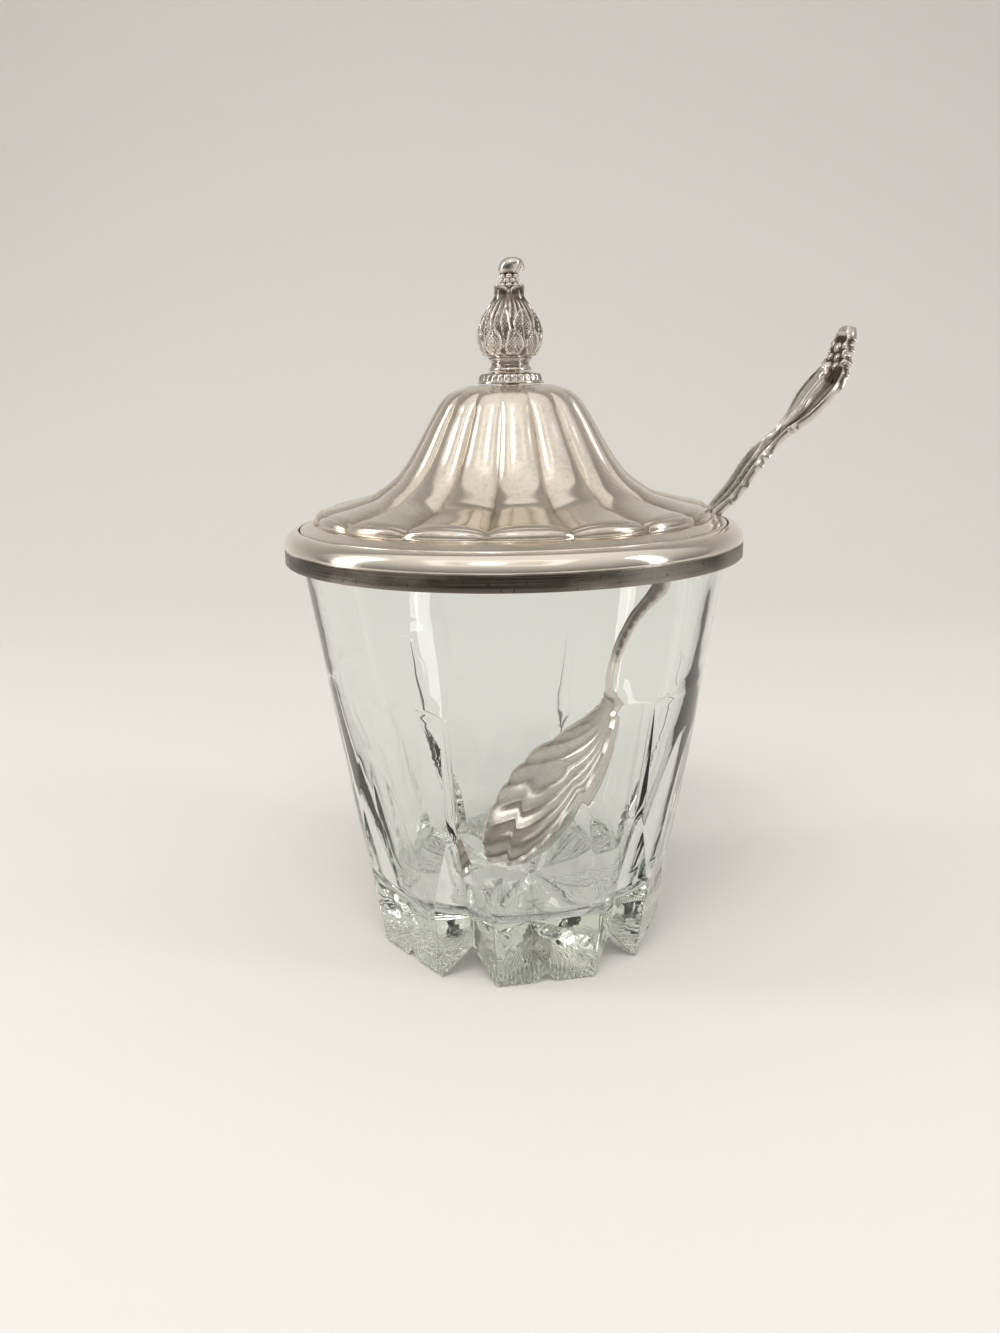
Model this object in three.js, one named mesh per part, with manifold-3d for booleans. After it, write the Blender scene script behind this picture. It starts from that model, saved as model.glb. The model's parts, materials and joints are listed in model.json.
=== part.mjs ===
// A covered glass sugar jar with a silver plated collar, a lobed lid with a bud knob, and a shell spoon.
// Millimetres, +Z up. The jar is built round its own axis and then set down with the middle of its
// bounding box over the origin and its feet at height 0. Azimuths run from the front, -Y, towards +X.

import * as THREE from 'three';
import { mergeVertices } from 'three/addons/utils/BufferGeometryUtils.js';
import Module from 'manifold-3d';

const wasm = await Module();
wasm.setup();

// Clearances
const gap = 0.3;                  // between pieces that touch, are soldered or are screwed together
const skirtClearance = 0.3;       // between the lid's skirt and the wall of its rebate

// Glass jar
const footRadius = 34.66;         // outside of the round body at the standing surface
const bodyFlare = 0.147;          // widening of the body for each unit of height
const rimHeight = 95.6;           // top of the fire polished rim
const rimRound = 0.9;             // rounding of the rim's two edges
const rimWall = 3.0;              // wall near the mouth
const baseWall = 8.0;             // wall beside the floor
const wallBlendHeight = 58;       // height above the floor over which the wall thins to rimWall
const wallBlendPower = 1.6;       // how fast it thins
const floorHeight = 14;           // inside floor
const floorCorner = 6;            // rounding between floor and wall
const footCount = 6;
const footPhase = 10.4;           // azimuth of the foot nearest the front
const panelDepth = 1.8;           // how far the flat panel over each foot lies inside the round body
const panelKnee = 17;             // height where the panel starts to run out
const panelBend = 42;             // height where it runs out faster
const panelBendShare = 0.41;      // share of its depth that is left there
const panelTop = 54.2;            // height of the panel's pointed top
const grooveDepth = 3.9;          // depth of the upright groove between two feet
const grooveKnee = 18;            // height where the groove starts to run out
const grooveTop = 42.5;           // height of the groove's pointed top
const grooveHalfAngle = 65;       // half of the groove's opening angle
const notchHeight = 8;            // crown of the mitre cuts that cross under the base
const notchHalfWidth = 6.6;       // half width of a mitre cut at the standing surface
const rayDepth = 1.4;             // small rays cut along the feet
const rayHalfWidth = 2.4;

// Collar of folded sheet on the glass rim, and the liner that it grips with
const sheet = 0.8;                // sheet of the collar, the lid and the bezel
const linerWidth = 1.89;          // liner between the glass and the band
const bandHeight = 3.5;
const bandDrop = 2.9;             // how far the band hangs below the glass rim
const seamInset = 3.3;            // from the band's outside to the wall of the rebate
const shoulderRise = 3.65;        // from the band's top edge to the seam
const lipReach = 2.6;             // width of the ledge that the lid stands on
const linerHeight = 2.4;

// Lid
const lobeCount = 16;
const lobePhase = -7;             // azimuth of a crease
const borderInset = 3.45;         // from the lid's edge in to the lobes of the border at their fullest
const borderFootWidth = 0.3;      // rounding at the foot of the border
const borderDrop = 1.3;           // from the seam up to the foot of the border
const creaseDepth = 1.35;         // depth of the creases between the lobes where they are deepest
const domeTop = 30.3;             // from the seam up to the flat top
const studHole = 2.4;
const bezelDrop = 3.5;            // how far the bezel hangs below the ledge
const bezelClearance = 0.8;       // between the bezel and the mouth of the glass
const notchSide = 1.1;            // room on each side of the spoon in the lid's edge
const notchBack = 0.7;            // room behind the spoon in the lid's edge

// Knob and its fastening
const knobBaseRadius = 7.5;
const knobBaseHeight = 2.5;
const budHeight = 23.3;
const budRadius = 7.3;            // bud at its fullest, between its leaves
const leafCount = 8;
const leafRise = 0.5;             // how far the leaves stand proud
const studRadius = 2;
const studBoreDepth = 6;          // how far the stud enters the bud
const washerRadius = 6.5;
const washerThickness = 0.8;
const nutFlats = 7;
const nutHeight = 3.2;
const studTail = 0.8;             // stud below its nut

// Spoon
const spoonAzimuth = 94.25;
const spoonReach = 44.6;          // how far the handle rises above the ledge that it leans on
const spoonLean = 32.56;          // how far its end lies outside its place on the ledge
const straightReach = 15;         // half of the height over which the handle runs straight
const shankWidth = 6.2;           // handle where it passes the lid
const shankThickness = 2.2;
const shankClearance = 0.45;      // between the spoon and the ledge that it leans against
const lean = 0.651;               // how far the straight part of the handle leans out per unit of height
const headWidth = 16;
const shankTwist = 11;            // turn of the handle about its own length above the lid, in degrees
const headTwist = 4;              // further turn of its head
const handleOffset = 1.7;         // how far the handle above the lid stands out from its straight line
const neckWidth = 4.5;
const bowlWidth = 28;
const bowlDepth = 13;             // back of the bowl below a straight line from neck to tip
const rimSag = 3.8;               // sides of the rim below that line, most of all near the neck
const rimLift = 1.4;              // how strongly they come up again towards the tip
const bowlTwist = 14;             // turn of the bowl about that line, in degrees
const twistLow = 3;               // heights above the neck between which the handle takes up that turn
const twistHigh = 17;
const bowlThickness = 1.2;
const bowlNeckOut = 23.2;         // rim at the neck, outside the jar's axis
const bowlNeckUp = 43;            // and above the floor
const bowlTipOut = -8.6;          // rim at the tip, past the jar's axis
const bowlTipUp = 1.5;            // and above the floor
const bowlScallops = 5;           // scallops along each side of the rim
const scallopRise = 0.7;
const piercingLength = 10;
const piercingWidth = 1.5;

// Fineness of the round pieces
const roundSteps = 72;
const stepsPerLobe = 4;
const stepsPerLeaf = 4;

// Materials
const glass = new THREE.MeshStandardMaterial({
  color: 0xdfe6de, roughness: 0.03, metalness: 0, transparent: true, opacity: 0.35,
});
const silver = new THREE.MeshStandardMaterial({ color: 0xc9c3b6, roughness: 0.14, metalness: 1 });
const darkSilver = new THREE.MeshStandardMaterial({ color: 0x8f8880, roughness: 0.3, metalness: 1 });
const brass = new THREE.MeshStandardMaterial({ color: 0xb59a5b, roughness: 0.35, metalness: 1 });
const rubber = new THREE.MeshStandardMaterial({ color: 0xd8d4c8, roughness: 0.7, metalness: 0 });

const degrees = Math.PI / 180;

// Outside radius of the plain round body at a height.
function bodyRadius(height) {
  return footRadius + bodyFlare * height;
}

// Wall of the glass at a height.
function wallAt(height) {
  const left = Math.max(0, 1 - (height - floorHeight) / wallBlendHeight);
  return rimWall + (baseWall - rimWall) * left ** wallBlendPower;
}

// Six times the volume inside a triangle mesh, negative when its faces point inwards.
function signedVolume(points, index) {
  const a = new THREE.Vector3();
  const b = new THREE.Vector3();
  const c = new THREE.Vector3();
  let sum = 0;
  for (let i = 0; i < index.length; i += 3) {
    a.fromArray(points, index[i] * 3);
    b.fromArray(points, index[i + 1] * 3);
    c.fromArray(points, index[i + 2] * 3);
    sum += a.dot(b.cross(c));
  }
  return sum;
}

// Turns a closed three.js geometry into a solid that can be cut and joined.
function toSolid(geometry) {
  const bare = new THREE.BufferGeometry();
  bare.setAttribute('position', geometry.getAttribute('position').clone());
  if (geometry.index) {
    bare.setIndex(geometry.index.clone());
  }
  const merged = mergeVertices(bare, 1e-4);
  const points = merged.getAttribute('position').array;
  const index = [];
  for (let i = 0; i < merged.index.count; i += 3) {
    const [a, b, c] = [0, 1, 2].map((k) => merged.index.getX(i + k));
    if (a !== b && b !== c && c !== a) {
      index.push(a, b, c);
    }
  }
  if (signedVolume(points, index) < 0) {
    index.reverse();
  }
  return new wasm.Manifold(new wasm.Mesh({
    numProp: 3,
    vertProperties: new Float32Array(points),
    triVerts: new Uint32Array(index),
  }));
}

// Turns a solid back into a three.js geometry.
function toGeometry(solid) {
  const mesh = solid.getMesh();
  const geometry = new THREE.BufferGeometry();
  geometry.setAttribute('position', new THREE.BufferAttribute(new Float32Array(mesh.vertProperties), 3));
  geometry.setIndex(new THREE.BufferAttribute(new Uint32Array(mesh.triVerts), 1));
  geometry.computeVertexNormals();
  return geometry;
}

// Revolves a closed or axis-to-axis profile of [radius, height] about the Z axis.
function revolve(profile, steps = roundSteps, phase = 0) {
  const points = profile.map(([radius, height]) => new THREE.Vector2(radius, height));
  const geometry = new THREE.LatheGeometry(points, steps, phase * degrees, Math.PI * 2);
  return geometry.rotateX(Math.PI / 2);
}

// Revolves a ring section, whose last point joins its first.
function ring(section, steps = roundSteps, phase = 0) {
  return revolve([...section, section[0]], steps, phase);
}

// Points of an elliptical arc in a section, angles in degrees.
function arc(centre, radii, from, to, steps) {
  const points = [];
  for (let i = 0; i <= steps; i += 1) {
    const angle = (from + (to - from) * i / steps) * degrees;
    points.push([centre[0] + radii[0] * Math.cos(angle), centre[1] + radii[1] * Math.sin(angle)]);
  }
  return points;
}

// A turn about Z that carries +X to an azimuth.
function facing(azimuth) {
  return new THREE.Matrix4().makeRotationZ((azimuth - 90) * degrees);
}

// A prism of [out, up] points that faces an azimuth and is spread evenly to both sides of it.
function crossPrism(points, width, azimuth) {
  const outline = new THREE.Shape(points.map(([out, up]) => new THREE.Vector2(out, up)));
  const geometry = new THREE.ExtrudeGeometry(outline, { depth: width, bevelEnabled: false });
  geometry.translate(0, 0, -width / 2);
  geometry.rotateX(Math.PI / 2);
  return toSolid(geometry.applyMatrix4(facing(azimuth)));
}

// A long V cutter whose edge passes through two points of [radius, height] at an azimuth.
function grooveCutter(low, high, azimuth) {
  const reach = footRadius;
  const spread = reach * Math.tan(grooveHalfAngle * degrees);
  const wedge = new THREE.Shape([
    new THREE.Vector2(0, 0), new THREE.Vector2(reach, -spread), new THREE.Vector2(reach, spread),
  ]);
  const length = 3 * rimHeight;
  const geometry = new THREE.ExtrudeGeometry(wedge, { depth: length, bevelEnabled: false });
  geometry.translate(0, 0, -length / 2);
  geometry.rotateY(Math.atan2(high[0] - low[0], high[1] - low[1]));
  geometry.translate(low[0], 0, low[1]);
  return toSolid(geometry.applyMatrix4(facing(azimuth)));
}

// A mitre cut that runs straight across under the base.
function mitreCut(crown, halfWidth, azimuth) {
  const below = 1;
  const spread = halfWidth * (crown + below) / crown;
  return crossPrism([[-spread, -below], [spread, -below], [0, crown]], 4 * footRadius, azimuth + 90);
}

// The blank of the jar before its cuts: round body, rim, tapering wall and rounded floor.
function jarBlank() {
  const mouthOut = bodyRadius(rimHeight);
  const mouthIn = mouthOut - wallAt(rimHeight);
  const rounding = [rimRound, rimRound];
  const profile = [[0, 0], [bodyRadius(0), 0], [bodyRadius(panelTop), panelTop]];
  profile.push(...arc([mouthOut - rimRound, rimHeight - rimRound], rounding, 0, 90, 3));
  profile.push(...arc([mouthIn + rimRound, rimHeight - rimRound], rounding, 90, 180, 3));
  const cornerTop = floorHeight + floorCorner;
  const wallRows = 6;
  for (let i = 1; i <= wallRows; i += 1) {
    const height = rimHeight - rimRound + (cornerTop - rimHeight + rimRound) * i / wallRows;
    profile.push([bodyRadius(height) - wallAt(height), height]);
  }
  const cornerOut = bodyRadius(cornerTop) - wallAt(cornerTop);
  const corner = arc([cornerOut - floorCorner, cornerTop], [floorCorner, floorCorner], 0, -90, 4);
  profile.push(...corner.slice(1));
  profile.push([0, floorHeight]);
  return toSolid(revolve(profile, roundSteps, footPhase));
}

// The jar: panels over the feet, grooves between them and mitre cuts under the base.
function glassJar() {
  let jar = jarBlank();
  const step = 360 / footCount;
  const bendRadius = bodyRadius(panelBend) - panelBendShare * panelDepth;
  const panelSlope = (bodyRadius(panelTop) - bendRadius) / (panelTop - panelBend);
  const clear = 5;
  const above = panelTop + 3 * clear;
  const panel = [
    [bodyRadius(-clear) - panelDepth, -clear], [bodyRadius(panelKnee) - panelDepth, panelKnee],
    [bendRadius, panelBend], [bendRadius + panelSlope * (above - panelBend), above],
    [2 * footRadius, above], [2 * footRadius, -clear],
  ];
  const grooveLow = [bodyRadius(0) - grooveDepth, 0];
  const grooveMiddle = [bodyRadius(grooveKnee) - grooveDepth, grooveKnee];
  const grooveHigh = [bodyRadius(grooveTop), grooveTop];
  for (let i = 0; i < footCount; i += 1) {
    const foot = footPhase + step * i;
    const groove = foot + step / 2;
    jar = jar.subtract(crossPrism(panel, 2 * footRadius, foot));
    const lower = grooveCutter(grooveLow, grooveMiddle, groove);
    jar = jar.subtract(lower.intersect(grooveCutter(grooveMiddle, grooveHigh, groove)));
  }
  for (let i = 0; i < footCount / 2; i += 1) {
    jar = jar.subtract(mitreCut(notchHeight, notchHalfWidth, footPhase + step * (i + 0.5)));
    jar = jar.subtract(mitreCut(rayDepth, rayHalfWidth, footPhase + step * i));
  }
  return toGeometry(jar);
}

// Heights and radii that the collar, its liner and the lid share.
const collarRadius = bodyRadius(rimHeight) + gap + linerWidth + gap + sheet;
const bandBottom = rimHeight - bandDrop;
const bandTop = bandBottom + bandHeight;
const rebateRadius = collarRadius - seamInset;
const seamHeight = bandTop + shoulderRise;
const ledgeUnder = rimHeight + gap;
const ledgeTop = ledgeUnder + sheet;
const lidRadius = rebateRadius - skirtClearance;
const lipRadius = rebateRadius - lipReach;
const borderRadius = lidRadius - borderInset;

const bowlStart = [bowlNeckOut, floorHeight + bowlNeckUp];
const bowlEnd = [bowlTipOut, floorHeight + bowlTipUp];

// How far the handle's faces lie from its middle line, measured level, where it passes the lid.
const shankReach = shankThickness / 2 * Math.hypot(1, lean);

// Middle of the straight part of the handle at a height.
function onShank(height) {
  return lipRadius - shankClearance - shankReach + lean * (height - ledgeTop);
}

const borderFoot = seamHeight + borderDrop;
const notchRadius = onShank(borderFoot - sheet - gap) - shankReach - notchBack;
const notchWidth = shankWidth + 2 * notchSide;

// The collar: upright band, round shoulder, rebate and ledge, folded from one sheet and open below.
function collarRing() {
  const centre = [rebateRadius, bandTop];
  const inner = [seamInset - sheet, shoulderRise - sheet];
  const wallAngle = Math.acos(sheet / inner[0]) / degrees;
  const section = [
    [collarRadius, bandBottom],
    ...arc(centre, [seamInset, shoulderRise], 0, 90, 5),
    [rebateRadius, ledgeTop], [lipRadius, ledgeTop],
    [lipRadius, ledgeUnder], [rebateRadius + sheet, ledgeUnder],
    ...arc(centre, inner, wallAngle, 0, 3),
    [collarRadius - sheet, bandBottom],
  ];
  return ring(section);
}

// The liner between the glass and the collar's band.
function collarLiner() {
  const low = rimHeight - linerHeight;
  const outside = collarRadius - sheet - gap;
  return ring([
    [bodyRadius(low) + gap, low], [outside, low],
    [outside, rimHeight], [bodyRadius(rimHeight) + gap, rimHeight],
  ]);
}

// The lid's profile from the stud hole out to the skirt. The rows are shares of the border's radius,
// of the dome's height over the seam and of the creases' depth.
function lidProfile() {
  const rows = [
    [0.205, 1, 0], [0.265, 0.975, 0.04], [0.309, 0.944, 0.19], [0.352, 0.886, 0.44],
    [0.412, 0.743, 0.74], [0.467, 0.597, 0.85], [0.529, 0.452, 0.89], [0.592, 0.343, 0.93],
    [0.665, 0.264, 0.96], [0.756, 0.201, 1], [0.868, 0.158, 1], [0.948, 0.13, 0.96],
    [0.987, 0.102, 0.93], [1, 0.076, 0.89],
  ];
  const edgeRows = [
    [borderRadius - 0.3 * borderFootWidth, 1.15 * borderDrop, 0.81 * creaseDepth],
    [borderRadius + borderFootWidth, borderDrop, 0],
    [borderRadius + borderInset / 2, 0.6 * borderDrop, 0],
    [lidRadius, 0, 0],
  ];
  const domeRows = rows.map(([out, up, crease]) => (
    [out * borderRadius, up * domeTop, crease * creaseDepth]
  ));
  const allRows = [[studHole, domeTop, 0], ...domeRows, ...edgeRows];
  return allRows.map(([radius, up, crease]) => ({ radius, height: seamHeight + up, crease }));
}

// Outward normals of a run of profile points, each the mean of its two sides.
function profileNormals(points) {
  return points.map((point, i) => {
    const before = points[Math.max(0, i - 1)];
    const after = points[Math.min(points.length - 1, i + 1)];
    const along = new THREE.Vector2(after.radius - before.radius, after.height - before.height).normalize();
    return new THREE.Vector2(-along.y, along.x);
  });
}

// How far a point of azimuth lies from the middle of its lobe, as 0 to 1, squared.
function creaseShare(azimuth) {
  const turn = (azimuth - lobePhase) * lobeCount / 360;
  const across = 2 * (turn - Math.floor(turn)) - 1;
  return across * across;
}

// The cutter for the spoon's opening in the lid's edge, up to a height.
function spoonOpening(inside, bottom, top, width) {
  const outside = 2 * collarRadius;
  const outline = [[inside, bottom], [outside, bottom], [outside, top], [inside, top]];
  return crossPrism(outline, width, spoonAzimuth);
}

// The lid: lobed dome and border, plain outer ring and turned down skirt, of one sheet.
function lidShell() {
  const outer = lidProfile();
  const normals = profileNormals(outer);
  const skirtBottom = ledgeTop + gap;
  const path = [];
  outer.forEach((point, i) => {
    path.push({ radius: point.radius, height: point.height, crease: point.crease, normal: normals[i] });
  });
  path.push({ radius: lidRadius, height: skirtBottom, crease: 0, normal: normals[0] });
  path.push({ radius: lidRadius - sheet, height: skirtBottom, crease: 0, normal: normals[0] });
  for (let i = outer.length - 1; i >= 0; i -= 1) {
    const point = outer[i];
    const edge = i === outer.length - 1;
    const hole = i === 0;
    path.push({
      radius: edge ? lidRadius - sheet : point.radius - (hole ? 0 : sheet * normals[i].x),
      height: point.height - (edge || hole ? sheet : sheet * normals[i].y),
      crease: point.crease,
      normal: normals[i],
    });
  }
  path.push(path[0]);
  const steps = lobeCount * stepsPerLobe;
  const geometry = revolve(path.map((point) => [point.radius, point.height]), steps, lobePhase);
  const position = geometry.getAttribute('position');
  for (let column = 0; column <= steps; column += 1) {
    const azimuth = lobePhase + 360 * column / steps;
    const share = creaseShare(azimuth + 1e-9);
    path.forEach((point, row) => {
      const radius = point.radius - point.crease * share * point.normal.x;
      const height = point.height - point.crease * share * point.normal.y;
      const x = radius * Math.sin(azimuth * degrees);
      const y = -radius * Math.cos(azimuth * degrees);
      position.setXYZ(column * path.length + row, x, y, height);
    });
  }
  const opening = spoonOpening(notchRadius, bandBottom, borderFoot + 0.08 * borderDrop, notchWidth);
  return toGeometry(toSolid(geometry).subtract(opening));
}

// The bezel: an upright ring that drops into the mouth, with a flange soldered under the lid.
function lidBezel() {
  const mouth = bodyRadius(rimHeight) - wallAt(rimHeight);
  const outside = mouth - bezelClearance;
  const bottom = ledgeTop - bezelDrop;
  const slope = borderDrop / (borderInset - borderFootWidth);
  const under = 1.1 * sheet + gap;
  const flangeOut = lidRadius - sheet - gap;
  const flangeLow = seamHeight + slope * (lidRadius - flangeOut) - under;
  const flangeHigh = seamHeight + slope * (lidRadius - outside) - under;
  const section = [
    [outside - sheet, bottom], [outside, bottom],
    [outside, flangeHigh - sheet], [flangeOut, flangeLow - sheet],
    [flangeOut, flangeLow], [outside, flangeHigh], [outside - sheet, flangeHigh],
  ];
  const opening = spoonOpening(footRadius, 0, 2 * rimHeight, notchWidth + gap);
  return toGeometry(toSolid(ring(section)).subtract(opening));
}

// Where the knob stands: the lid's flat top, over it the base, the bud and below it washer and nut.
const lidTop = seamHeight + domeTop;
const knobBottom = lidTop + gap;
const budBottom = knobBottom + knobBaseHeight + gap;
const washerTop = lidTop - sheet - gap;
const nutTop = washerTop - washerThickness - gap;
const boreRadius = studRadius + gap;

// The knob's two stepped base disc.
function knobBase() {
  const top = knobBottom + knobBaseHeight;
  const upperRadius = 0.88 * knobBaseRadius;
  return ring([
    [boreRadius, knobBottom], [0.987 * knobBaseRadius, knobBottom],
    [knobBaseRadius, knobBottom + 0.18 * knobBaseHeight],
    [0.96 * knobBaseRadius, knobBottom + 0.36 * knobBaseHeight],
    [upperRadius, knobBottom + 0.4 * knobBaseHeight], [upperRadius, knobBottom + 0.64 * knobBaseHeight],
    [0.87 * upperRadius, top - 0.06 * knobBaseHeight], [0.81 * upperRadius, top], [boreRadius, top],
  ], 48);
}

// The bud: neck, full body with standing leaves, curled leaf tips, berries and a hooked top.
function budKnob() {
  const shares = [
    [0.67, 0, 0], [0.64, 0.017, 0], [0.57, 0.056, 0], [0.6, 0.09, 0.1], [0.74, 0.155, 0.5],
    [0.93, 0.219, 0.9], [1, 0.296, 1], [0.99, 0.369, 1], [0.945, 0.433, 1], [0.835, 0.498, 0.9],
    [0.685, 0.562, 0.8], [0.548, 0.627, 0.6], [0.438, 0.67, 0.5], [0.43, 0.708, 0.7],
    [0.452, 0.742, 0.8], [0.342, 0.764, 0.3], [0.315, 0.828, 0.3], [0.3, 0.871, 0.2],
    [0.342, 0.914, 0.2], [0.288, 0.966, 0.1], [0.15, 0.996, 0], [0, 1, 0],
  ];
  const rows = shares.map(([out, up, share]) => [out * budRadius, up * budHeight, share]);
  const profile = [[0, budBottom], ...rows.map(([radius, up]) => [radius, budBottom + up])];
  const steps = leafCount * stepsPerLeaf;
  const geometry = revolve(profile, steps);
  const position = geometry.getAttribute('position');
  for (let column = 0; column <= steps; column += 1) {
    const azimuth = 360 * column / steps;
    const ridge = Math.cos(azimuth * leafCount * degrees);
    rows.forEach(([radius, up, share], row) => {
      const hook = 0.1 * budRadius * Math.max(0, 10 * up / budHeight - 9);
      const out = radius + leafRise * share * ridge;
      const x = out * Math.sin(azimuth * degrees) + hook;
      const y = -out * Math.cos(azimuth * degrees);
      position.setXYZ(column * profile.length + row + 1, x, y, budBottom + up);
    });
  }
  const bore = revolve([
    [0, budBottom - 1], [boreRadius, budBottom - 1], [boreRadius, budBottom + studBoreDepth + gap],
    [0, budBottom + studBoreDepth + gap],
  ], 24);
  return toGeometry(toSolid(geometry).subtract(toSolid(bore)));
}

// The screwed stud from the bud down to its nut.
function knobStud() {
  const bottom = nutTop - nutHeight - studTail;
  const top = budBottom + studBoreDepth;
  return revolve([[0, bottom], [studRadius, bottom], [studRadius, top], [0, top]], 24);
}

// The washer under the lid's top.
function studWasher() {
  const low = washerTop - washerThickness;
  const section = [
    [boreRadius, low], [washerRadius, low], [washerRadius, washerTop], [boreRadius, washerTop],
  ];
  return ring(section, 36);
}

// The six sided nut below the washer.
function studNut() {
  const corners = nutFlats / 2 / Math.cos(30 * degrees);
  const outline = new THREE.Shape();
  for (let i = 0; i < 6; i += 1) {
    const angle = 60 * i * degrees;
    const [x, y] = [corners * Math.cos(angle), corners * Math.sin(angle)];
    if (i === 0) {
      outline.moveTo(x, y);
    } else {
      outline.lineTo(x, y);
    }
  }
  outline.closePath();
  outline.holes.push(new THREE.Path().absarc(0, 0, boreRadius, 0, Math.PI * 2, true));
  const settings = { depth: nutHeight, bevelEnabled: false, curveSegments: 12 };
  const geometry = new THREE.ExtrudeGeometry(outline, settings);
  return geometry.translate(0, 0, nutTop - nutHeight);
}

// Rows of the handle from its end down to the bowl: [out, up, width, thickness]. It runs straight
// where it passes the lid.
function handleRows() {
  const upper = [
    [1, 1, 0.16 * headWidth, 0.77], [0.985, 0.962, 0.3 * headWidth, 1.05],
    [0.957, 0.908, 0.41 * headWidth, 1.09], [0.923, 0.85, 0.575 * headWidth, 1.09],
    [0.877, 0.796, 0.825 * headWidth, 1], [0.816, 0.738, 0.99 * headWidth, 1],
    [0.736, 0.666, headWidth, 1], [0.662, 0.59, 0.81 * headWidth, 1],
    [0.561, 0.509, 0.54 * headWidth, 0.91], [0.475, 0.437, 0.4 * headWidth, 0.86],
  ];
  const straight = [
    [1, shankWidth * 1.22, 0.96, 1], [0.6, shankWidth * 1.18, 1, 0.88], [0.2, shankWidth, 1, 0],
    [-0.2, shankWidth, 1, 0], [-0.6, (shankWidth + neckWidth) / 2, 1, 0], [-1, neckWidth, 1, 0],
  ];
  const lower = [
    [0.54, 0.75, neckWidth, 1.05], [0.175, 0.445, neckWidth, 1.1],
    [0.02, 0.14, 1.09 * neckWidth, 1.1], [0.05, -0.01, 1.13 * neckWidth, 1.1],
    [0.19, -0.16, neckWidth, 0.8], [0.29, -0.29, 0.53 * neckWidth, 0.55],
  ];
  const ledgeOut = onShank(ledgeTop);
  const straightEnd = [onShank(ledgeTop - straightReach), ledgeTop - straightReach];
  const [neckOut, neckUp] = bowlStart;
  const rows = upper.map(([out, up, width, thickness]) => (
    [ledgeOut + out * spoonLean, ledgeTop + up * spoonReach, width, thickness * shankThickness]
  ));
  for (const [up, width, thickness, offset] of straight) {
    const height = ledgeTop + up * straightReach;
    const out = onShank(height) + offset * handleOffset;
    rows.push([out, height, width, thickness * shankThickness]);
  }
  for (const [out, up, width, thickness] of lower) {
    rows.push([
      neckOut + out * (straightEnd[0] - neckOut), neckUp + up * (straightEnd[1] - neckUp),
      width, thickness * shankThickness,
    ]);
  }
  return rows;
}

// How far the handle is turned about its own length at a height, in radians.
function handleTwist(height) {
  const rise = (low, high) => THREE.MathUtils.smoothstep(height, ledgeTop + low, ledgeTop + high);
  const low = 1 - THREE.MathUtils.smoothstep(height, bowlStart[1] + twistLow, bowlStart[1] + twistHigh);
  return (bowlTwist * low + shankTwist * rise(2.8, 7.3) + headTwist * rise(18.3, 27.3)) * degrees;
}

// The handle, lofted in the plane of X and Z with its width along Y, and turned above the lid and at the neck.
function handleSolid() {
  const rows = handleRows();
  const path = rows.map(([out, up]) => new THREE.Vector3(out, 0, up));
  const spans = rows.map(([, , width, thickness]) => new THREE.Vector3(width, thickness, 0));
  const centres = new THREE.CatmullRomCurve3(path, false, 'centripetal');
  const sizes = new THREE.CatmullRomCurve3(spans, false, 'centripetal');
  const stations = 34;
  const sides = 10;
  const points = [];
  for (let i = 0; i < stations; i += 1) {
    const share = i / (stations - 1);
    const centre = centres.getPoint(share);
    const along = centres.getTangent(share);
    const size = sizes.getPoint(share);
    for (let k = 0; k < sides; k += 1) {
      const angle = 2 * Math.PI * (k + 0.5) / sides;
      const across = Math.sign(Math.cos(angle)) * Math.abs(Math.cos(angle)) ** 0.7 * size.x / 2;
      const proud = Math.sign(Math.sin(angle)) * Math.abs(Math.sin(angle)) ** 0.7 * size.y / 2;
      const twist = handleTwist(centre.z);
      const lateral = across * Math.cos(twist) - proud * Math.sin(twist);
      const normal = proud * Math.cos(twist) + across * Math.sin(twist);
      points.push(centre.x + normal * along.z, lateral, centre.z - normal * along.x);
    }
  }
  const index = [];
  for (let i = 0; i < stations - 1; i += 1) {
    for (let k = 0; k < sides; k += 1) {
      const a = i * sides + k;
      const b = i * sides + (k + 1) % sides;
      index.push(a, b, a + sides, b, b + sides, a + sides);
    }
  }
  const last = (stations - 1) * sides;
  for (let k = 1; k < sides - 1; k += 1) {
    index.push(0, k + 1, k, last, last + k, last + k + 1);
  }
  const geometry = new THREE.BufferGeometry();
  geometry.setAttribute('position', new THREE.Float32BufferAttribute(points, 3));
  geometry.setIndex(index);
  return toSolid(geometry);
}

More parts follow.
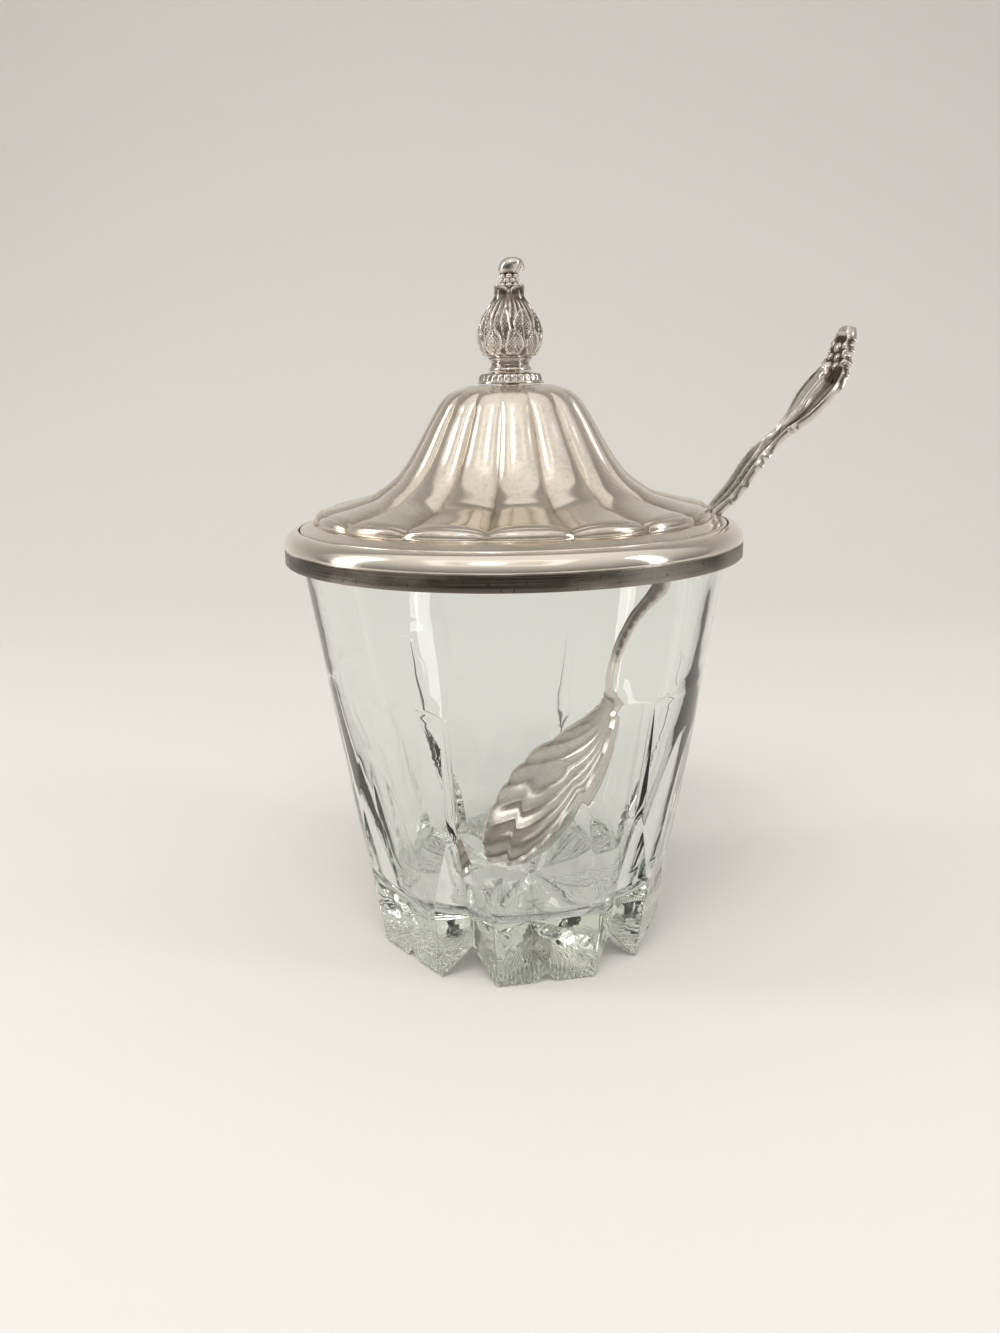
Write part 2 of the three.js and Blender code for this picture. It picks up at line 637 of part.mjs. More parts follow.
// The bowl: a scalloped shell, hollow towards the upper left of the plane of X and Z, and turned a little.
function bowlSolid() {
  const rows = 20;
  const columns = 16;
  const start = new THREE.Vector2(...bowlStart);
  const along = new THREE.Vector2(...bowlEnd).sub(start);
  const hollowWay = new THREE.Vector2(along.y, -along.x).normalize();
  const cos = Math.cos(bowlTwist * degrees);
  const sin = Math.sin(bowlTwist * degrees);
  const points = [];
  for (const layer of [0, bowlThickness]) {
    for (let i = 0; i <= rows; i += 1) {
      const share = i / rows;
      const swell = Math.max(0, Math.sin(Math.PI * share ** 1.3)) ** 0.68;
      const scallop = scallopRise * Math.abs(Math.sin(bowlScallops * Math.PI * share)) * swell;
      const half = neckWidth / 2 + (bowlWidth / 2 - scallopRise - neckWidth / 2) * swell + scallop;
      const back = bowlDepth * Math.max(0, Math.sin(Math.PI * share ** 0.92)) ** 0.7;
      const rise = rimSag * (rimLift * share ** 2 - 1) * Math.max(0, Math.sin(Math.PI * share ** 0.8)) ** 0.6;
      for (let k = 0; k <= columns; k += 1) {
        const side = -1 + 2 * k / columns;
        const rib = 0.25 * (k % 2) * swell;
        const sag = (back + rise - rib) * (1 - side * side) ** 0.75 - rise + layer;
        const proud = half * side * sin - sag * cos;
        const x = start.x + along.x * share + hollowWay.x * proud;
        const z = start.y + along.y * share + hollowWay.y * proud;
        points.push(x, half * side * cos + sag * sin, z);
      }
    }
  }
  const wide = columns + 1;
  const under = (rows + 1) * wide;
  const index = [];
  for (let i = 0; i < rows; i += 1) {
    for (let k = 0; k < columns; k += 1) {
      const a = i * wide + k;
      index.push(a, a + 1, a + wide, a + 1, a + wide + 1, a + wide);
      const b = under + a;
      index.push(b, b + wide, b + 1, b + 1, b + wide, b + wide + 1);
    }
  }
  const wall = (a, b) => index.push(a, b, under + a, b, under + b, under + a);
  for (let i = 0; i < rows; i += 1) {
    wall(i * wide, (i + 1) * wide);
    wall((i + 1) * wide + columns, i * wide + columns);
  }
  for (let k = 0; k < columns; k += 1) {
    wall(k + 1, k);
    wall(rows * wide + k, rows * wide + k + 1);
  }
  const geometry = new THREE.BufferGeometry();
  geometry.setAttribute('position', new THREE.Float32BufferAttribute(points, 3));
  geometry.setIndex(index);
  return toSolid(geometry);
}

// The spoon in its own plane: handle joined to bowl, with a slender opening in each side of the head.
function sugarSpoon() {
  let spoon = handleSolid().add(bowlSolid());
  const middle = [onShank(ledgeTop) + 0.742 * spoonLean, ledgeTop + 0.672 * spoonReach];
  const tilt = Math.atan2(1.1 * spoonLean, spoonReach);
  for (const side of [-1, 1]) {
    const slot = new THREE.Shape();
    slot.absellipse(0, 0, piercingWidth / 2, piercingLength / 2, 0, Math.PI * 2, false);
    const geometry = new THREE.ExtrudeGeometry(slot, { depth: 12, bevelEnabled: false, curveSegments: 6 });
    geometry.translate(0, 0, -6);
    geometry.rotateZ(side * 8 * degrees);
    geometry.rotateX(Math.PI / 2);
    geometry.rotateZ(Math.PI / 2);
    geometry.translate(0, side * headWidth * 0.24, 0);
    geometry.rotateZ(handleTwist(middle[1]));
    geometry.rotateY(tilt);
    geometry.translate(middle[0], 0, middle[1]);
    spoon = spoon.subtract(toSolid(geometry));
  }
  return toGeometry(spoon);
}

// A named mesh.
function piece(name, geometry, material) {
  const mesh = new THREE.Mesh(geometry, material);
  mesh.name = name;
  return mesh;
}

const jarBody = new THREE.Group();
jarBody.add(piece('glass_jar', glassJar(), glass));
jarBody.add(piece('collar_ring', collarRing(), darkSilver));
jarBody.add(piece('collar_liner', collarLiner(), rubber));

const lidBody = new THREE.Group();
lidBody.add(piece('lid_shell', lidShell(), silver));
lidBody.add(piece('lid_bezel', lidBezel(), silver));
lidBody.add(piece('knob_base', knobBase(), silver));
lidBody.add(piece('bud_knob', budKnob(), silver));
lidBody.add(piece('knob_stud', knobStud(), brass));
lidBody.add(piece('stud_washer', studWasher(), brass));
lidBody.add(piece('stud_nut', studNut(), brass));

const spoonBody = new THREE.Group();
spoonBody.add(piece('sugar_spoon', sugarSpoon(), silver));
spoonBody.rotation.z = (spoonAzimuth - 90) * degrees;

const assembly = new THREE.Group();
assembly.add(jarBody, lidBody, spoonBody);
const bounds = new THREE.Box3().setFromObject(assembly, true);
const middle = bounds.getCenter(new THREE.Vector3());
assembly.position.set(-middle.x, -middle.y, -bounds.min.z);

const sugarJar = new THREE.Group();
sugarJar.add(assembly);

export default sugarJar;
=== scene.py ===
"""Looks of a covered glass sugar jar: cut glass, plated collar and lid, bud knob, shell spoon.

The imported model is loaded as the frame. Each sub-assembly below is a class whose fields are its
sizes in millimetres round the jar's own axis; the finished meshes are in metres in the frame of
the model. Azimuths run in degrees from the front, -Y, towards +X.
"""

from __future__ import annotations

import json
import logging
import math
from dataclasses import dataclass, field
from enum import Enum

import bmesh
import bpy
import numpy as np
from mathutils import Matrix, Vector

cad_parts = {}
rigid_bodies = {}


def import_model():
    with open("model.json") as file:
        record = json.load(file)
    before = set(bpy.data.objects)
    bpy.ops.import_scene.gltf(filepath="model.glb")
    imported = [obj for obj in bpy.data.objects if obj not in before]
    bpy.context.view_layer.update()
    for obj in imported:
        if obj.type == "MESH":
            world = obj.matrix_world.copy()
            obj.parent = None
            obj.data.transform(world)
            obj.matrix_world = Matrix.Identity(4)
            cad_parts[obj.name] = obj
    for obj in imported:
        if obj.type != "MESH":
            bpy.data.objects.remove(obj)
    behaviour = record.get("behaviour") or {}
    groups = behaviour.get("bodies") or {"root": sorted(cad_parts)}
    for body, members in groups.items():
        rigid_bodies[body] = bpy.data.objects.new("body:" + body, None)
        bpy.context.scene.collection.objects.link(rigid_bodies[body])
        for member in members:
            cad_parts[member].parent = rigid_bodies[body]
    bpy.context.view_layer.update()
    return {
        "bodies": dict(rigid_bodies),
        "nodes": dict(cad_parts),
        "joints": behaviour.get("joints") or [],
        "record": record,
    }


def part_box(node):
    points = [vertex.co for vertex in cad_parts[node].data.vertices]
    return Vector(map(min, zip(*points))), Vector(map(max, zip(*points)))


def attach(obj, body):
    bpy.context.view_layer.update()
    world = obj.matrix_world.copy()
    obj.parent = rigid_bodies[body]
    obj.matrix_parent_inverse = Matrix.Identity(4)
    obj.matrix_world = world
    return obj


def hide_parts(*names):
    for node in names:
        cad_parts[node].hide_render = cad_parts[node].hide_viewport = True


LOG = logging.getLogger("sugar_jar")
MM = 0.001
Pair = tuple[float, float]
Triple = tuple[float, float, float]
Colour = tuple[float, float, float, float]


# Helpers for curves and grids


def eased(keys: list[Pair], at: np.ndarray) -> np.ndarray:
    """Smooth curve through rising keys, without overshoot.

    Args:
        keys: Pairs of place and value, places rising.
        at: Places to read.

    Returns:
        The values there.
    """
    x, y = np.array(keys, float).T
    slope = np.diff(y) / np.diff(x)
    tangent = np.concatenate([[slope[0]], (slope[1:] + slope[:-1]) / 2, [slope[-1]]])
    flat = np.concatenate([[False], slope[1:] * slope[:-1] <= 0, [False]])
    tangent[flat] = 0
    k = np.clip(np.searchsorted(x, at, side="right") - 1, 0, len(x) - 2)
    span = x[k + 1] - x[k]
    t = np.clip((at - x[k]) / span, 0, 1)
    a, b = 2 * t**3 - 3 * t**2 + 1, t**3 - 2 * t**2 + t
    c, d = 3 * t**2 - 2 * t**3, t**3 - t**2
    return a * y[k] + b * span * tangent[k] + c * y[k + 1] + d * span * tangent[k + 1]


def along(points: list[tuple[float, ...]], count: int) -> np.ndarray:
    """Resamples a rounded polyline with a centripetal curve.

    Args:
        points: Corner points, of any number of values each.
        count: How many points to return.

    Returns:
        An array of count points, evenly spread over the curve's parameter.
    """
    p = np.array(points, float)
    p = np.vstack([2 * p[0] - p[1], p, 2 * p[-1] - p[-2]])
    gaps = np.sqrt(np.linalg.norm(np.diff(p[:, :2], axis=0), axis=1))
    knot = np.concatenate([[0], np.cumsum(gaps)])
    out = []
    for t in np.linspace(knot[1], knot[-2], count):
        i = int(np.clip(np.searchsorted(knot, t, side="right") - 1, 1, len(p) - 3))
        k0, k1, k2, k3 = knot[i - 1 : i + 3]
        a1 = (k1 - t) / (k1 - k0) * p[i - 1] + (t - k0) / (k1 - k0) * p[i]
        a2 = (k2 - t) / (k2 - k1) * p[i] + (t - k1) / (k2 - k1) * p[i + 1]
        a3 = (k3 - t) / (k3 - k2) * p[i + 1] + (t - k2) / (k3 - k2) * p[i + 2]
        b1 = (k2 - t) / (k2 - k0) * a1 + (t - k0) / (k2 - k0) * a2
        b2 = (k3 - t) / (k3 - k1) * a2 + (t - k1) / (k3 - k1) * a3
        out.append((k2 - t) / (k2 - k1) * b1 + (t - k1) / (k2 - k1) * b2)
    return np.array(out)


def arc(centre: Pair, radii: Pair, degrees: np.ndarray) -> list[Pair]:
    """Points of an arc in a section.

    Args:
        centre: Radius and height of its middle.
        radii: Its reach outwards and upwards.
        degrees: Angles over the horizontal.

    Returns:
        The points.
    """
    turns = [math.radians(angle) for angle in degrees]
    return [
        (centre[0] + radii[0] * math.cos(turn), centre[1] + radii[1] * math.sin(turn))
        for turn in turns
    ]


def soft_min(a: np.ndarray, b: np.ndarray, blend: float) -> np.ndarray:
    """Smaller of two values, with the corner between them rounded over blend."""
    share = np.clip(1 - np.abs(a - b) / blend, 0, 1)
    return np.minimum(a, b) - share * share * blend / 4


def soft_max(a: np.ndarray, b: np.ndarray, blend: float) -> np.ndarray:
    """Larger of two values, with the corner between them rounded over blend."""
    return -soft_min(-a, -b, blend)


def bump_at(x: np.ndarray, centre: float, width: float) -> np.ndarray:
    """A smooth hump of height 1 at centre."""
    return np.exp(-(((x - centre) / width) ** 2))


def step_up(x: np.ndarray, low: float, high: float) -> np.ndarray:
    """A smooth rise from 0 at low to 1 at high."""
    t = np.clip((x - low) / (high - low), 0, 1)
    return t * t * (3 - 2 * t)


def between(x: np.ndarray, rise: Pair, fall: Pair) -> np.ndarray:
    """A plateau of height 1 that rises over the first pair of places and falls over the second."""
    return step_up(x, *rise) * (1 - step_up(x, *fall))


def arch(share: np.ndarray, lean: float, fullness: float) -> np.ndarray:
    """A sine arch over a share from 0 to 1, leaning to its start or end, fuller when below 1."""
    return np.clip(np.sin(np.pi * share**lean), 0, None) ** fullness


def smoothed(values: np.ndarray, near: np.ndarray, rounds: int) -> np.ndarray:
    """Averages rows with their neighbours.

    Args:
        values: The rows.
        near: Which rows may change.
        rounds: How many times.

    Returns:
        The new rows, with the first and last as they were.
    """
    out = values.copy()
    pick = near[1:-1].reshape(-1, *[1] * (values.ndim - 1))
    for _ in range(rounds):
        out[1:-1] = np.where(pick, (out[:-2] + 2 * out[1:-1] + out[2:]) / 4, out[1:-1])
    return out


def polar(radius: np.ndarray, azimuth: np.ndarray, height: np.ndarray) -> np.ndarray:
    """Points from radius, azimuth in radians and height."""
    radius, azimuth, height = np.broadcast_arrays(radius, azimuth, height)
    return np.stack([radius * np.sin(azimuth), -radius * np.cos(azimuth), height], axis=-1)


def grid_of(x: np.ndarray, y: np.ndarray, z: np.ndarray) -> np.ndarray:
    """A grid of points from rows and columns of coordinates."""
    return np.stack(np.broadcast_arrays(x, y, z), axis=-1)


def grid_quads(rows: int, columns: int, closed: bool) -> np.ndarray:
    """Faces of a grid of points stored row by row.

    Args:
        rows: Number of rows of points.
        columns: Number of points in a row.
        closed: Whether the last column joins the first.

    Returns:
        An array of four indices per face.
    """
    row = np.arange(rows - 1)[:, None]
    column = np.arange(columns if closed else columns - 1)[None, :]
    after = (column + 1) % columns
    corners = [row * columns + column, row * columns + after, (row + 1) * columns + after]
    corners.append((row + 1) * columns + column)
    return np.stack(np.broadcast_arrays(*corners), axis=-1).reshape(-1, 4)


def round_steps(columns: int) -> np.ndarray:
    """Azimuths of evenly spread columns, as one row of radians."""
    return np.linspace(0, 2 * np.pi, columns, endpoint=False)[None, :]


def lathe(
    section: np.ndarray, columns: int, wobble: np.ndarray | float = 0.0
) -> tuple[np.ndarray, np.ndarray]:
    """Sweeps a section round the axis.

    Args:
        section: Points of radius and height.
        columns: Steps round the axis.
        wobble: Added radius, rows by columns.

    Returns:
        Grid points and quads.
    """
    points = polar(section[:, :1] + wobble, round_steps(columns), section[:, 1:])
    return points, grid_quads(len(section), columns, True)


# Meshes


@dataclass
class MeshDraft:
    """Points and faces gathered for one mesh, in millimetres round the jar's axis."""

    points: list[np.ndarray] = field(default_factory=list)
    faces: list[tuple[int, ...]] = field(default_factory=list)
    recess: list[np.ndarray] = field(default_factory=list)
    size: int = 0

    def add(self, points: np.ndarray, faces: np.ndarray, recess: np.ndarray | None = None) -> None:
        """Adds a patch.

        Args:
            points: Points of the patch.
            faces: Faces of the patch, counted from its own first point.
            recess: How far each point lies in a hollow where tarnish stays, or in painted shade, 0
                to 1.
        """
        flat = points.reshape(-1, 3)
        self.points.append(flat)
        self.recess.append(np.zeros(len(flat)) if recess is None else recess.reshape(-1))
        self.faces.extend(tuple(int(i) + self.size for i in face) for face in faces)
        self.size += len(flat)

    def add_sheet(
        self,
        front: np.ndarray,
        back: np.ndarray,
        closed: bool,
        keep: np.ndarray | None,
        recess: np.ndarray,
    ) -> None:
        """Adds a sheet with a front, a back and walls round every open edge.

        Args:
            front: Grid of points of the front, rows by columns by 3.
            back: The same grid for the back.
            closed: Whether the last column joins the first.
            keep: Which faces of the grid exist, or None for all.
            recess: Recess of each front point.
        """
        rows, columns = front.shape[:2]
        quads = grid_quads(rows, columns, closed)
        if keep is not None:
            quads = quads[keep.reshape(-1)]
        under = rows * columns
        edges: dict[tuple[int, int], bool] = {}
        for quad in quads:
            for i in range(4):
                edges[(int(quad[i]), int(quad[(i + 1) % 4]))] = True
        walls = [(b, a, a + under, b + under) for a, b in edges if (b, a) not in edges]
        faces = [tuple(q) for q in quads] + [tuple(q[::-1] + under) for q in quads] + walls
        both = np.concatenate([front.reshape(-1, 3), back.reshape(-1, 3)])
        self.add(both, faces, np.concatenate([recess.reshape(-1), np.zeros(under)]))

    def finish(self, name: str, centre: Vector, smooth: float = 35) -> bpy.types.Object:
        """Makes the mesh object.

        Args:
            name: Name of the object.
            centre: Where the jar's axis stands, in metres.
            smooth: Edges sharper than this many degrees stay sharp.

        Returns:
            The object, at the origin, with its place in its mesh.
        """
        points = np.concatenate(self.points) * MM + np.array(centre)
        mesh = bpy.data.meshes.new(name)
        mesh.from_pydata(points.tolist(), [], self.faces)
        layer = mesh.attributes.new("recess", "FLOAT", "POINT")
        layer.data.foreach_set("value", np.concatenate(self.recess).astype(np.float32))
        return tidy_object(name, mesh, smooth)


def tidy_object(name: str, mesh: bpy.types.Mesh, smooth: float) -> bpy.types.Object:
    """Merges doubles, drops loose points, points faces outwards and links the mesh as an object.

    Args:
        name: Name of the object.
        mesh: The mesh, already in place.
        smooth: Edges sharper than this many degrees stay sharp.

    Returns:
        The linked object.
    """
    work = bmesh.new()
    work.from_mesh(mesh)
    bmesh.ops.remove_doubles(work, verts=work.verts, dist=1e-7)
    bmesh.ops.dissolve_degenerate(work, edges=work.edges, dist=1e-8)
    bmesh.ops.delete(work, geom=[v for v in work.verts if not v.link_faces], context="VERTS")
    bmesh.ops.recalc_face_normals(work, faces=work.faces)
    work.to_mesh(mesh)
    work.free()
    mesh.name = name
    mesh.shade_smooth()
    mesh.set_sharp_from_angle(angle=math.radians(smooth))
    return linked(name, mesh)


def linked(name: str, data: bpy.types.ID) -> bpy.types.Object:
    """Makes an object of some data and links it to the scene.

    Args:
        name: Name of the object.
        data: Its mesh, lamp or camera.

    Returns:
        The object.
    """
    made = bpy.data.objects.new(name, data)
    bpy.context.scene.collection.objects.link(made)
    return made


def joined(name: str, meshes: list[bpy.types.Mesh], smooth: float = 40) -> bpy.types.Object:
    """Joins finished meshes that lie in place into one object.

    Args:
        name: Name of the object.
        meshes: The meshes.
        smooth: Edges sharper than this many degrees stay sharp.

    Returns:
        The linked object.
    """
    work = bmesh.new()
    for mesh in meshes:
        work.from_mesh(mesh)
    whole = bpy.data.meshes.new(name)
    work.to_mesh(whole)
    work.free()
    return tidy_object(name, whole, smooth)


# Node trees


class Maths(Enum):
    """Operations of a maths node."""

    ADD = "ADD"
    MULTIPLY = "MULTIPLY"
    DIVIDE = "DIVIDE"
    MAXIMUM = "MAXIMUM"
    SINE = "SINE"
    COSINE = "COSINE"
    ARCTAN2 = "ARCTAN2"


class TreeWriter:
    """Adds nodes to a node tree and joins them."""

    def __init__(self, tree: bpy.types.NodeTree) -> None:
        """Starts on a tree.

        Args:
            tree: The tree to add to.
        """
        self.nodes = tree.nodes
        self.links = tree.links

    def node(
        self, kind: str, settings: dict | None = None, inputs: dict | None = None
    ) -> bpy.types.Node:
        """Adds a node.

        Args:
            kind: Blender's name of the node's type.
            settings: Attributes of the node.
            inputs: Values or sockets by input name or number.

        Returns:
            The node.
        """
        made = self.nodes.new(kind)
        for name, value in (settings or {}).items():
            setattr(made, name, value)
        for name, value in (inputs or {}).items():
            self.feed(made.inputs[name], value)
        return made

    def feed(self, socket: bpy.types.NodeSocket, value: object) -> None:
        """Sets a socket's value, or links it when the value is a socket.

        Args:
            socket: The input.
            value: What goes into it.
        """
        if isinstance(value, bpy.types.NodeSocket):
            self.links.new(value, socket)
        else:
            socket.default_value = value

    def maths(self, way: Maths, a: object, b: object = 0.0) -> bpy.types.NodeSocket:
        """Joins two values by a maths operation."""
        return self.node("ShaderNodeMath", {"operation": way.value}, {0: a, 1: b}).outputs[0]

    def sum(self, a: object, b: object) -> bpy.types.NodeSocket:
        """Adds two values."""
        return self.maths(Maths.ADD, a, b)

    def times(self, a: object, b: object) -> bpy.types.NodeSocket:
        """Multiplies two values."""
        return self.maths(Maths.MULTIPLY, a, b)

    def fit(self, value: bpy.types.NodeSocket, given: Pair, wanted: Pair) -> bpy.types.NodeSocket:
        """Maps a range of values to another, with the ends held."""
        inputs = dict(enumerate((value, *given, *wanted)))
        return self.node("ShaderNodeMapRange", inputs=inputs).outputs[0]


class Recipe(TreeWriter):
    """A node material under construction."""

    def __init__(self, name: str) -> None:
        """Starts a material with a Principled shader on the object's own coordinates.

        Args:
            name: Name of the material.
        """
        self.material = bpy.data.materials.new(name)
        self.material.use_nodes = True
        super().__init__(self.material.node_tree)
        self.nodes.clear()
        self.shader = self.node("ShaderNodeBsdfPrincipled")
        self.output = self.node(
            "ShaderNodeOutputMaterial", inputs={"Surface": self.shader.outputs["BSDF"]}
        )
        self.place = self.node("ShaderNodeTexCoord").outputs["Object"]

    def shade(self, inputs: dict[str, object]) -> None:
        """Feeds sockets of the shader by name."""
        for name, value in inputs.items():
            self.feed(self.shader.inputs[name], value)

    def split(self, place: bpy.types.NodeSocket) -> bpy.types.bpy_prop_collection:
        """X, Y and Z of a place."""
        return self.node("ShaderNodeSeparateXYZ", inputs={0: place}).outputs

    def recess(self) -> bpy.types.NodeSocket:
        """How far the surface lies in a hollow, or in painted shade."""
        return self.node("ShaderNodeAttribute", {"attribute_name": "recess"}).outputs["Fac"]

    def noise(
        self, scale: float, detail: float = 3, stretch: Triple = (1, 1, 1)
    ) -> bpy.types.NodeSocket:
        """Noise on the object's own coordinates.

        Args:
            scale: Its fineness, per metre.
            detail: How many finer layers it has.
            stretch: Its scale along X, Y and Z.

        Returns:
            The noise, from 0 to 1.
        """
        mapped = self.node("ShaderNodeMapping", inputs={"Vector": self.place, "Scale": stretch})
        inputs = {"Vector": mapped.outputs[0], "Scale": scale, "Detail": detail}
        return self.node("ShaderNodeTexNoise", inputs=inputs).outputs["Fac"]

    def mix(self, share: object, a: object, b: object) -> bpy.types.NodeSocket:
        """Mixes two colours."""
        return self.node("ShaderNodeMix", {"data_type": "RGBA"}, {0: share, 6: a, 7: b}).outputs[2]

    def bump(self, height: bpy.types.NodeSocket, distance: float) -> None:
        """Adds relief to the shader."""
        inputs = {"Height": height, "Distance": distance, "Strength": 1.0}
        self.shade({"Normal": self.node("ShaderNodeBump", inputs=inputs).outputs[0]})


# Finishes


@dataclass(frozen=True)
class SilverPlate:
    """Polished silver plate: warm tarnish in hollows, painted shade, faint haze, fine scratches.
    """

    name: str
    bright: Colour = (0.86, 0.80, 0.71, 1)
    tarnish_and_shade: Colour = (0.38, 0.29, 0.20, 1)
    sheen: Pair = (0.10, 0.22)
    waviness: float = 0.00004
    rubbed_below: float = -1.0
    rubbed: float = 0.14
    rubbed_blend: float = 0.006
    mottled: float = 0.16

    def build(self) -> bpy.types.Material:
        """Makes the material.

        Returns:
            The material.
        """
        mix = Recipe(self.name)
        clouds = mix.fit(mix.noise(70, 5), (0.4, 0.66), (0.0, self.mottled))
        dots = mix.fit(mix.noise(1100, 3), (0.5, 0.72), (0.0, self.mottled * 0.7))
        # the recess mask carries real tarnish in hollows and also painted shade; both mix in the
        # darker colour
        deep = mix.times(mix.recess(), mix.fit(mix.noise(420, 3), (0.3, 0.7), (0.75, 1.0)))
        share = mix.sum(deep, mix.sum(clouds, dots))
        haze = mix.fit(mix.noise(38, 5), (0.35, 0.7), self.sheen)
        specks = mix.fit(mix.noise(2600, 1), (0.66, 0.74), (0.0, 0.10))
        rough = mix.sum(mix.sum(haze, specks), mix.fit(deep, (0, 1), (0, 0.12)))
        blend = (self.rubbed_below - self.rubbed_blend, self.rubbed_below)
        rough = mix.sum(rough, mix.fit(mix.split(mix.place)["Z"], blend, (self.rubbed, 0)))
        mix.shade({
            "Metallic": 1.0,
            "Base Color": mix.mix(share, self.bright, self.tarnish_and_shade),
            "Roughness": rough,
        })
        scratches = mix.times(mix.noise(900, 2, (1, 0.12, 0.5)), 0.012)
        mix.bump(mix.sum(mix.noise(60, 2), scratches), self.waviness)
        return mix.material


@dataclass(frozen=True)
class BandedSilver:
    """The collar's finish: polished shoulder, and a brushed, worn band in painted dark reflection.
    """

    name: str
    band_top: float
    band_bottom: float
    bright: Colour = (0.89, 0.825, 0.73, 1)
    tarnish_and_shade: Colour = (0.36, 0.30, 0.25, 1)
    # painted dark reflection: the band's near-black ground, also the colour of its pits
    dark_reflection_and_pits: Colour = (0.03, 0.025, 0.021, 1)
    streak: Colour = (0.17, 0.145, 0.125, 1)
    bare: Colour = (0.34, 0.31, 0.275, 1)
    blend: float = 0.0002
    worn_edge: float = 0.0011
    waviness: float = 0.00005

    def band_colour(
        self, mix: Recipe, up: bpy.types.NodeSocket, brushed: bpy.types.NodeSocket
    ) -> bpy.types.NodeSocket:
        """Colour of the upright band.

        Args:
            mix: The material.
            up: Height in the frame.
            brushed: Noise drawn out round the ring.

        Returns:
            The colour: a near-black painted dark reflection, with brushed streaks, worn patches, a
                bare lower edge and pits.
        """
        # the band's ground is painted dark reflection; brushed streaks, worn patches and the bare
        # edge lie over it
        streaks = mix.mix(mix.fit(brushed, (0.35, 0.65), (0, 0.5)), self.dark_reflection_and_pits, self.streak)
        worn = mix.fit(mix.noise(42, 5, (1, 1, 2.5)), (0.46, 0.68), (0, 0.6))
        edge = (self.band_bottom + self.blend, self.band_bottom + self.worn_edge)
        bare = mix.mix(mix.sum(worn, mix.fit(up, edge, (0.3, 0))), streaks, self.bare)
        return mix.mix(mix.fit(mix.noise(1300, 2), (0.66, 0.72), (0, 0.8)), bare, self.dark_reflection_and_pits)

    def build(self) -> bpy.types.Material:
        """Makes the material.

        Returns:
            The material.
        """
        mix = Recipe(self.name)
        up = mix.split(mix.place)["Z"]
        wander = mix.fit(mix.noise(70, 3), (0.3, 0.7), (-self.blend, self.blend))
        edge = (self.band_top - self.blend, self.band_top + self.blend)
        band = mix.fit(mix.sum(up, wander), edge, (1, 0))
        brushed = mix.noise(700, 3, (0.05, 0.05, 6))
        patches = mix.fit(mix.noise(60, 4), (0.4, 0.7), (0, 0.12))
        share = mix.sum(patches, mix.fit(mix.recess(), (0, 1), (0, 0.8)))
        polished = mix.mix(share, self.bright, self.tarnish_and_shade)
        smooth = mix.fit(mix.noise(40, 4), (0.35, 0.7), (0.09, 0.2))
        rough = mix.fit(brushed, (0.3, 0.7), (0.26, 0.46))
        both = mix.node("ShaderNodeMix", {"data_type": "FLOAT"}, {0: band, 2: smooth, 3: rough})
        mix.shade({
            "Metallic": 1.0,
            "Base Color": mix.mix(band, polished, self.band_colour(mix, up, brushed)),
            "Roughness": both.outputs[0],
        })
        waves = mix.times(mix.noise(60, 2), 0.7)
        mix.bump(mix.sum(mix.times(brushed, band), waves), self.waviness)
        return mix.material


@dataclass(frozen=True)
class JarGlass:
    """Clear pressed glass, a little grey-green in its thick parts, with slightly uneven faces."""

    name: str
    axis: Pair
    tint: Colour = (0.985, 0.99, 0.975, 1)
    deep: Colour = (0.78, 0.86, 0.70, 1)
    density: float = 10.0
    index: float = 1.5
    teeth: float = 230.0
    chip_scale: float = 330.0
    unevenness: float = 0.0002

    def build(self) -> bpy.types.Material:
        """Makes the material.

        Returns:
            The material.
        """
        mix = Recipe(self.name)
        mix.shade({
            "Base Color": self.tint,
            "IOR": self.index,
            "Transmission Weight": 1.0,
            "Roughness": mix.fit(mix.noise(30, 5), (0.55, 0.75), (0.0, 0.05)),
        })
        shift = {"Vector": mix.place, "Location": (-self.axis[0], -self.axis[1], 0)}
        x, y, z = mix.split(mix.node("ShaderNodeMapping", inputs=shift).outputs[0])
        turns = mix.times(mix.maths(Maths.ARCTAN2, x, y), self.teeth)
        low_teeth = mix.fit(z, (0.0035, 0.0055), (0.35, 0))
        teeth = mix.times(mix.maths(Maths.SINE, turns), low_teeth)
        cells = mix.node(
            "ShaderNodeTexVoronoi",
            {"feature": "SMOOTH_F1"},
            {"Vector": mix.place, "Scale": self.chip_scale, "Smoothness": 0.5},
        )
        chips = mix.times(cells.outputs["Distance"], mix.fit(z, (0.010, 0.017), (0.9, 0)))
        faces = mix.times(mix.noise(75, 2), 0.35)
        mix.bump(mix.sum(faces, mix.sum(teeth, chips)), self.unevenness)
        absorbed = {"Color": self.deep, "Density": self.density}
        body = mix.node("ShaderNodeVolumeAbsorption", inputs=absorbed)
        mix.feed(mix.output.inputs["Volume"], body.outputs[0])
        return mix.material


@dataclass(frozen=True)
class TurnedBrass:
    """Plain turned brass with fine tool rings and dull spots."""

    name: str
    bright: Colour = (0.80, 0.62, 0.32, 1)
    dull: Colour = (0.42, 0.30, 0.15, 1)
    ring_depth: float = 0.00002

    def build(self) -> bpy.types.Material:
        """Makes the material.

        Returns:
            The material.
        """
        mix = Recipe(self.name)
        spots = mix.fit(mix.noise(300, 4), (0.35, 0.7), (0, 0.6))
        mix.shade({
            "Metallic": 1.0,
            "Base Color": mix.mix(spots, self.bright, self.dull),
            "Roughness": mix.fit(mix.noise(500, 3), (0.3, 0.7), (0.22, 0.42)),
        })
        mix.bump(mix.noise(2500, 2, (0.2, 0.2, 2)), self.ring_depth)
        return mix.material


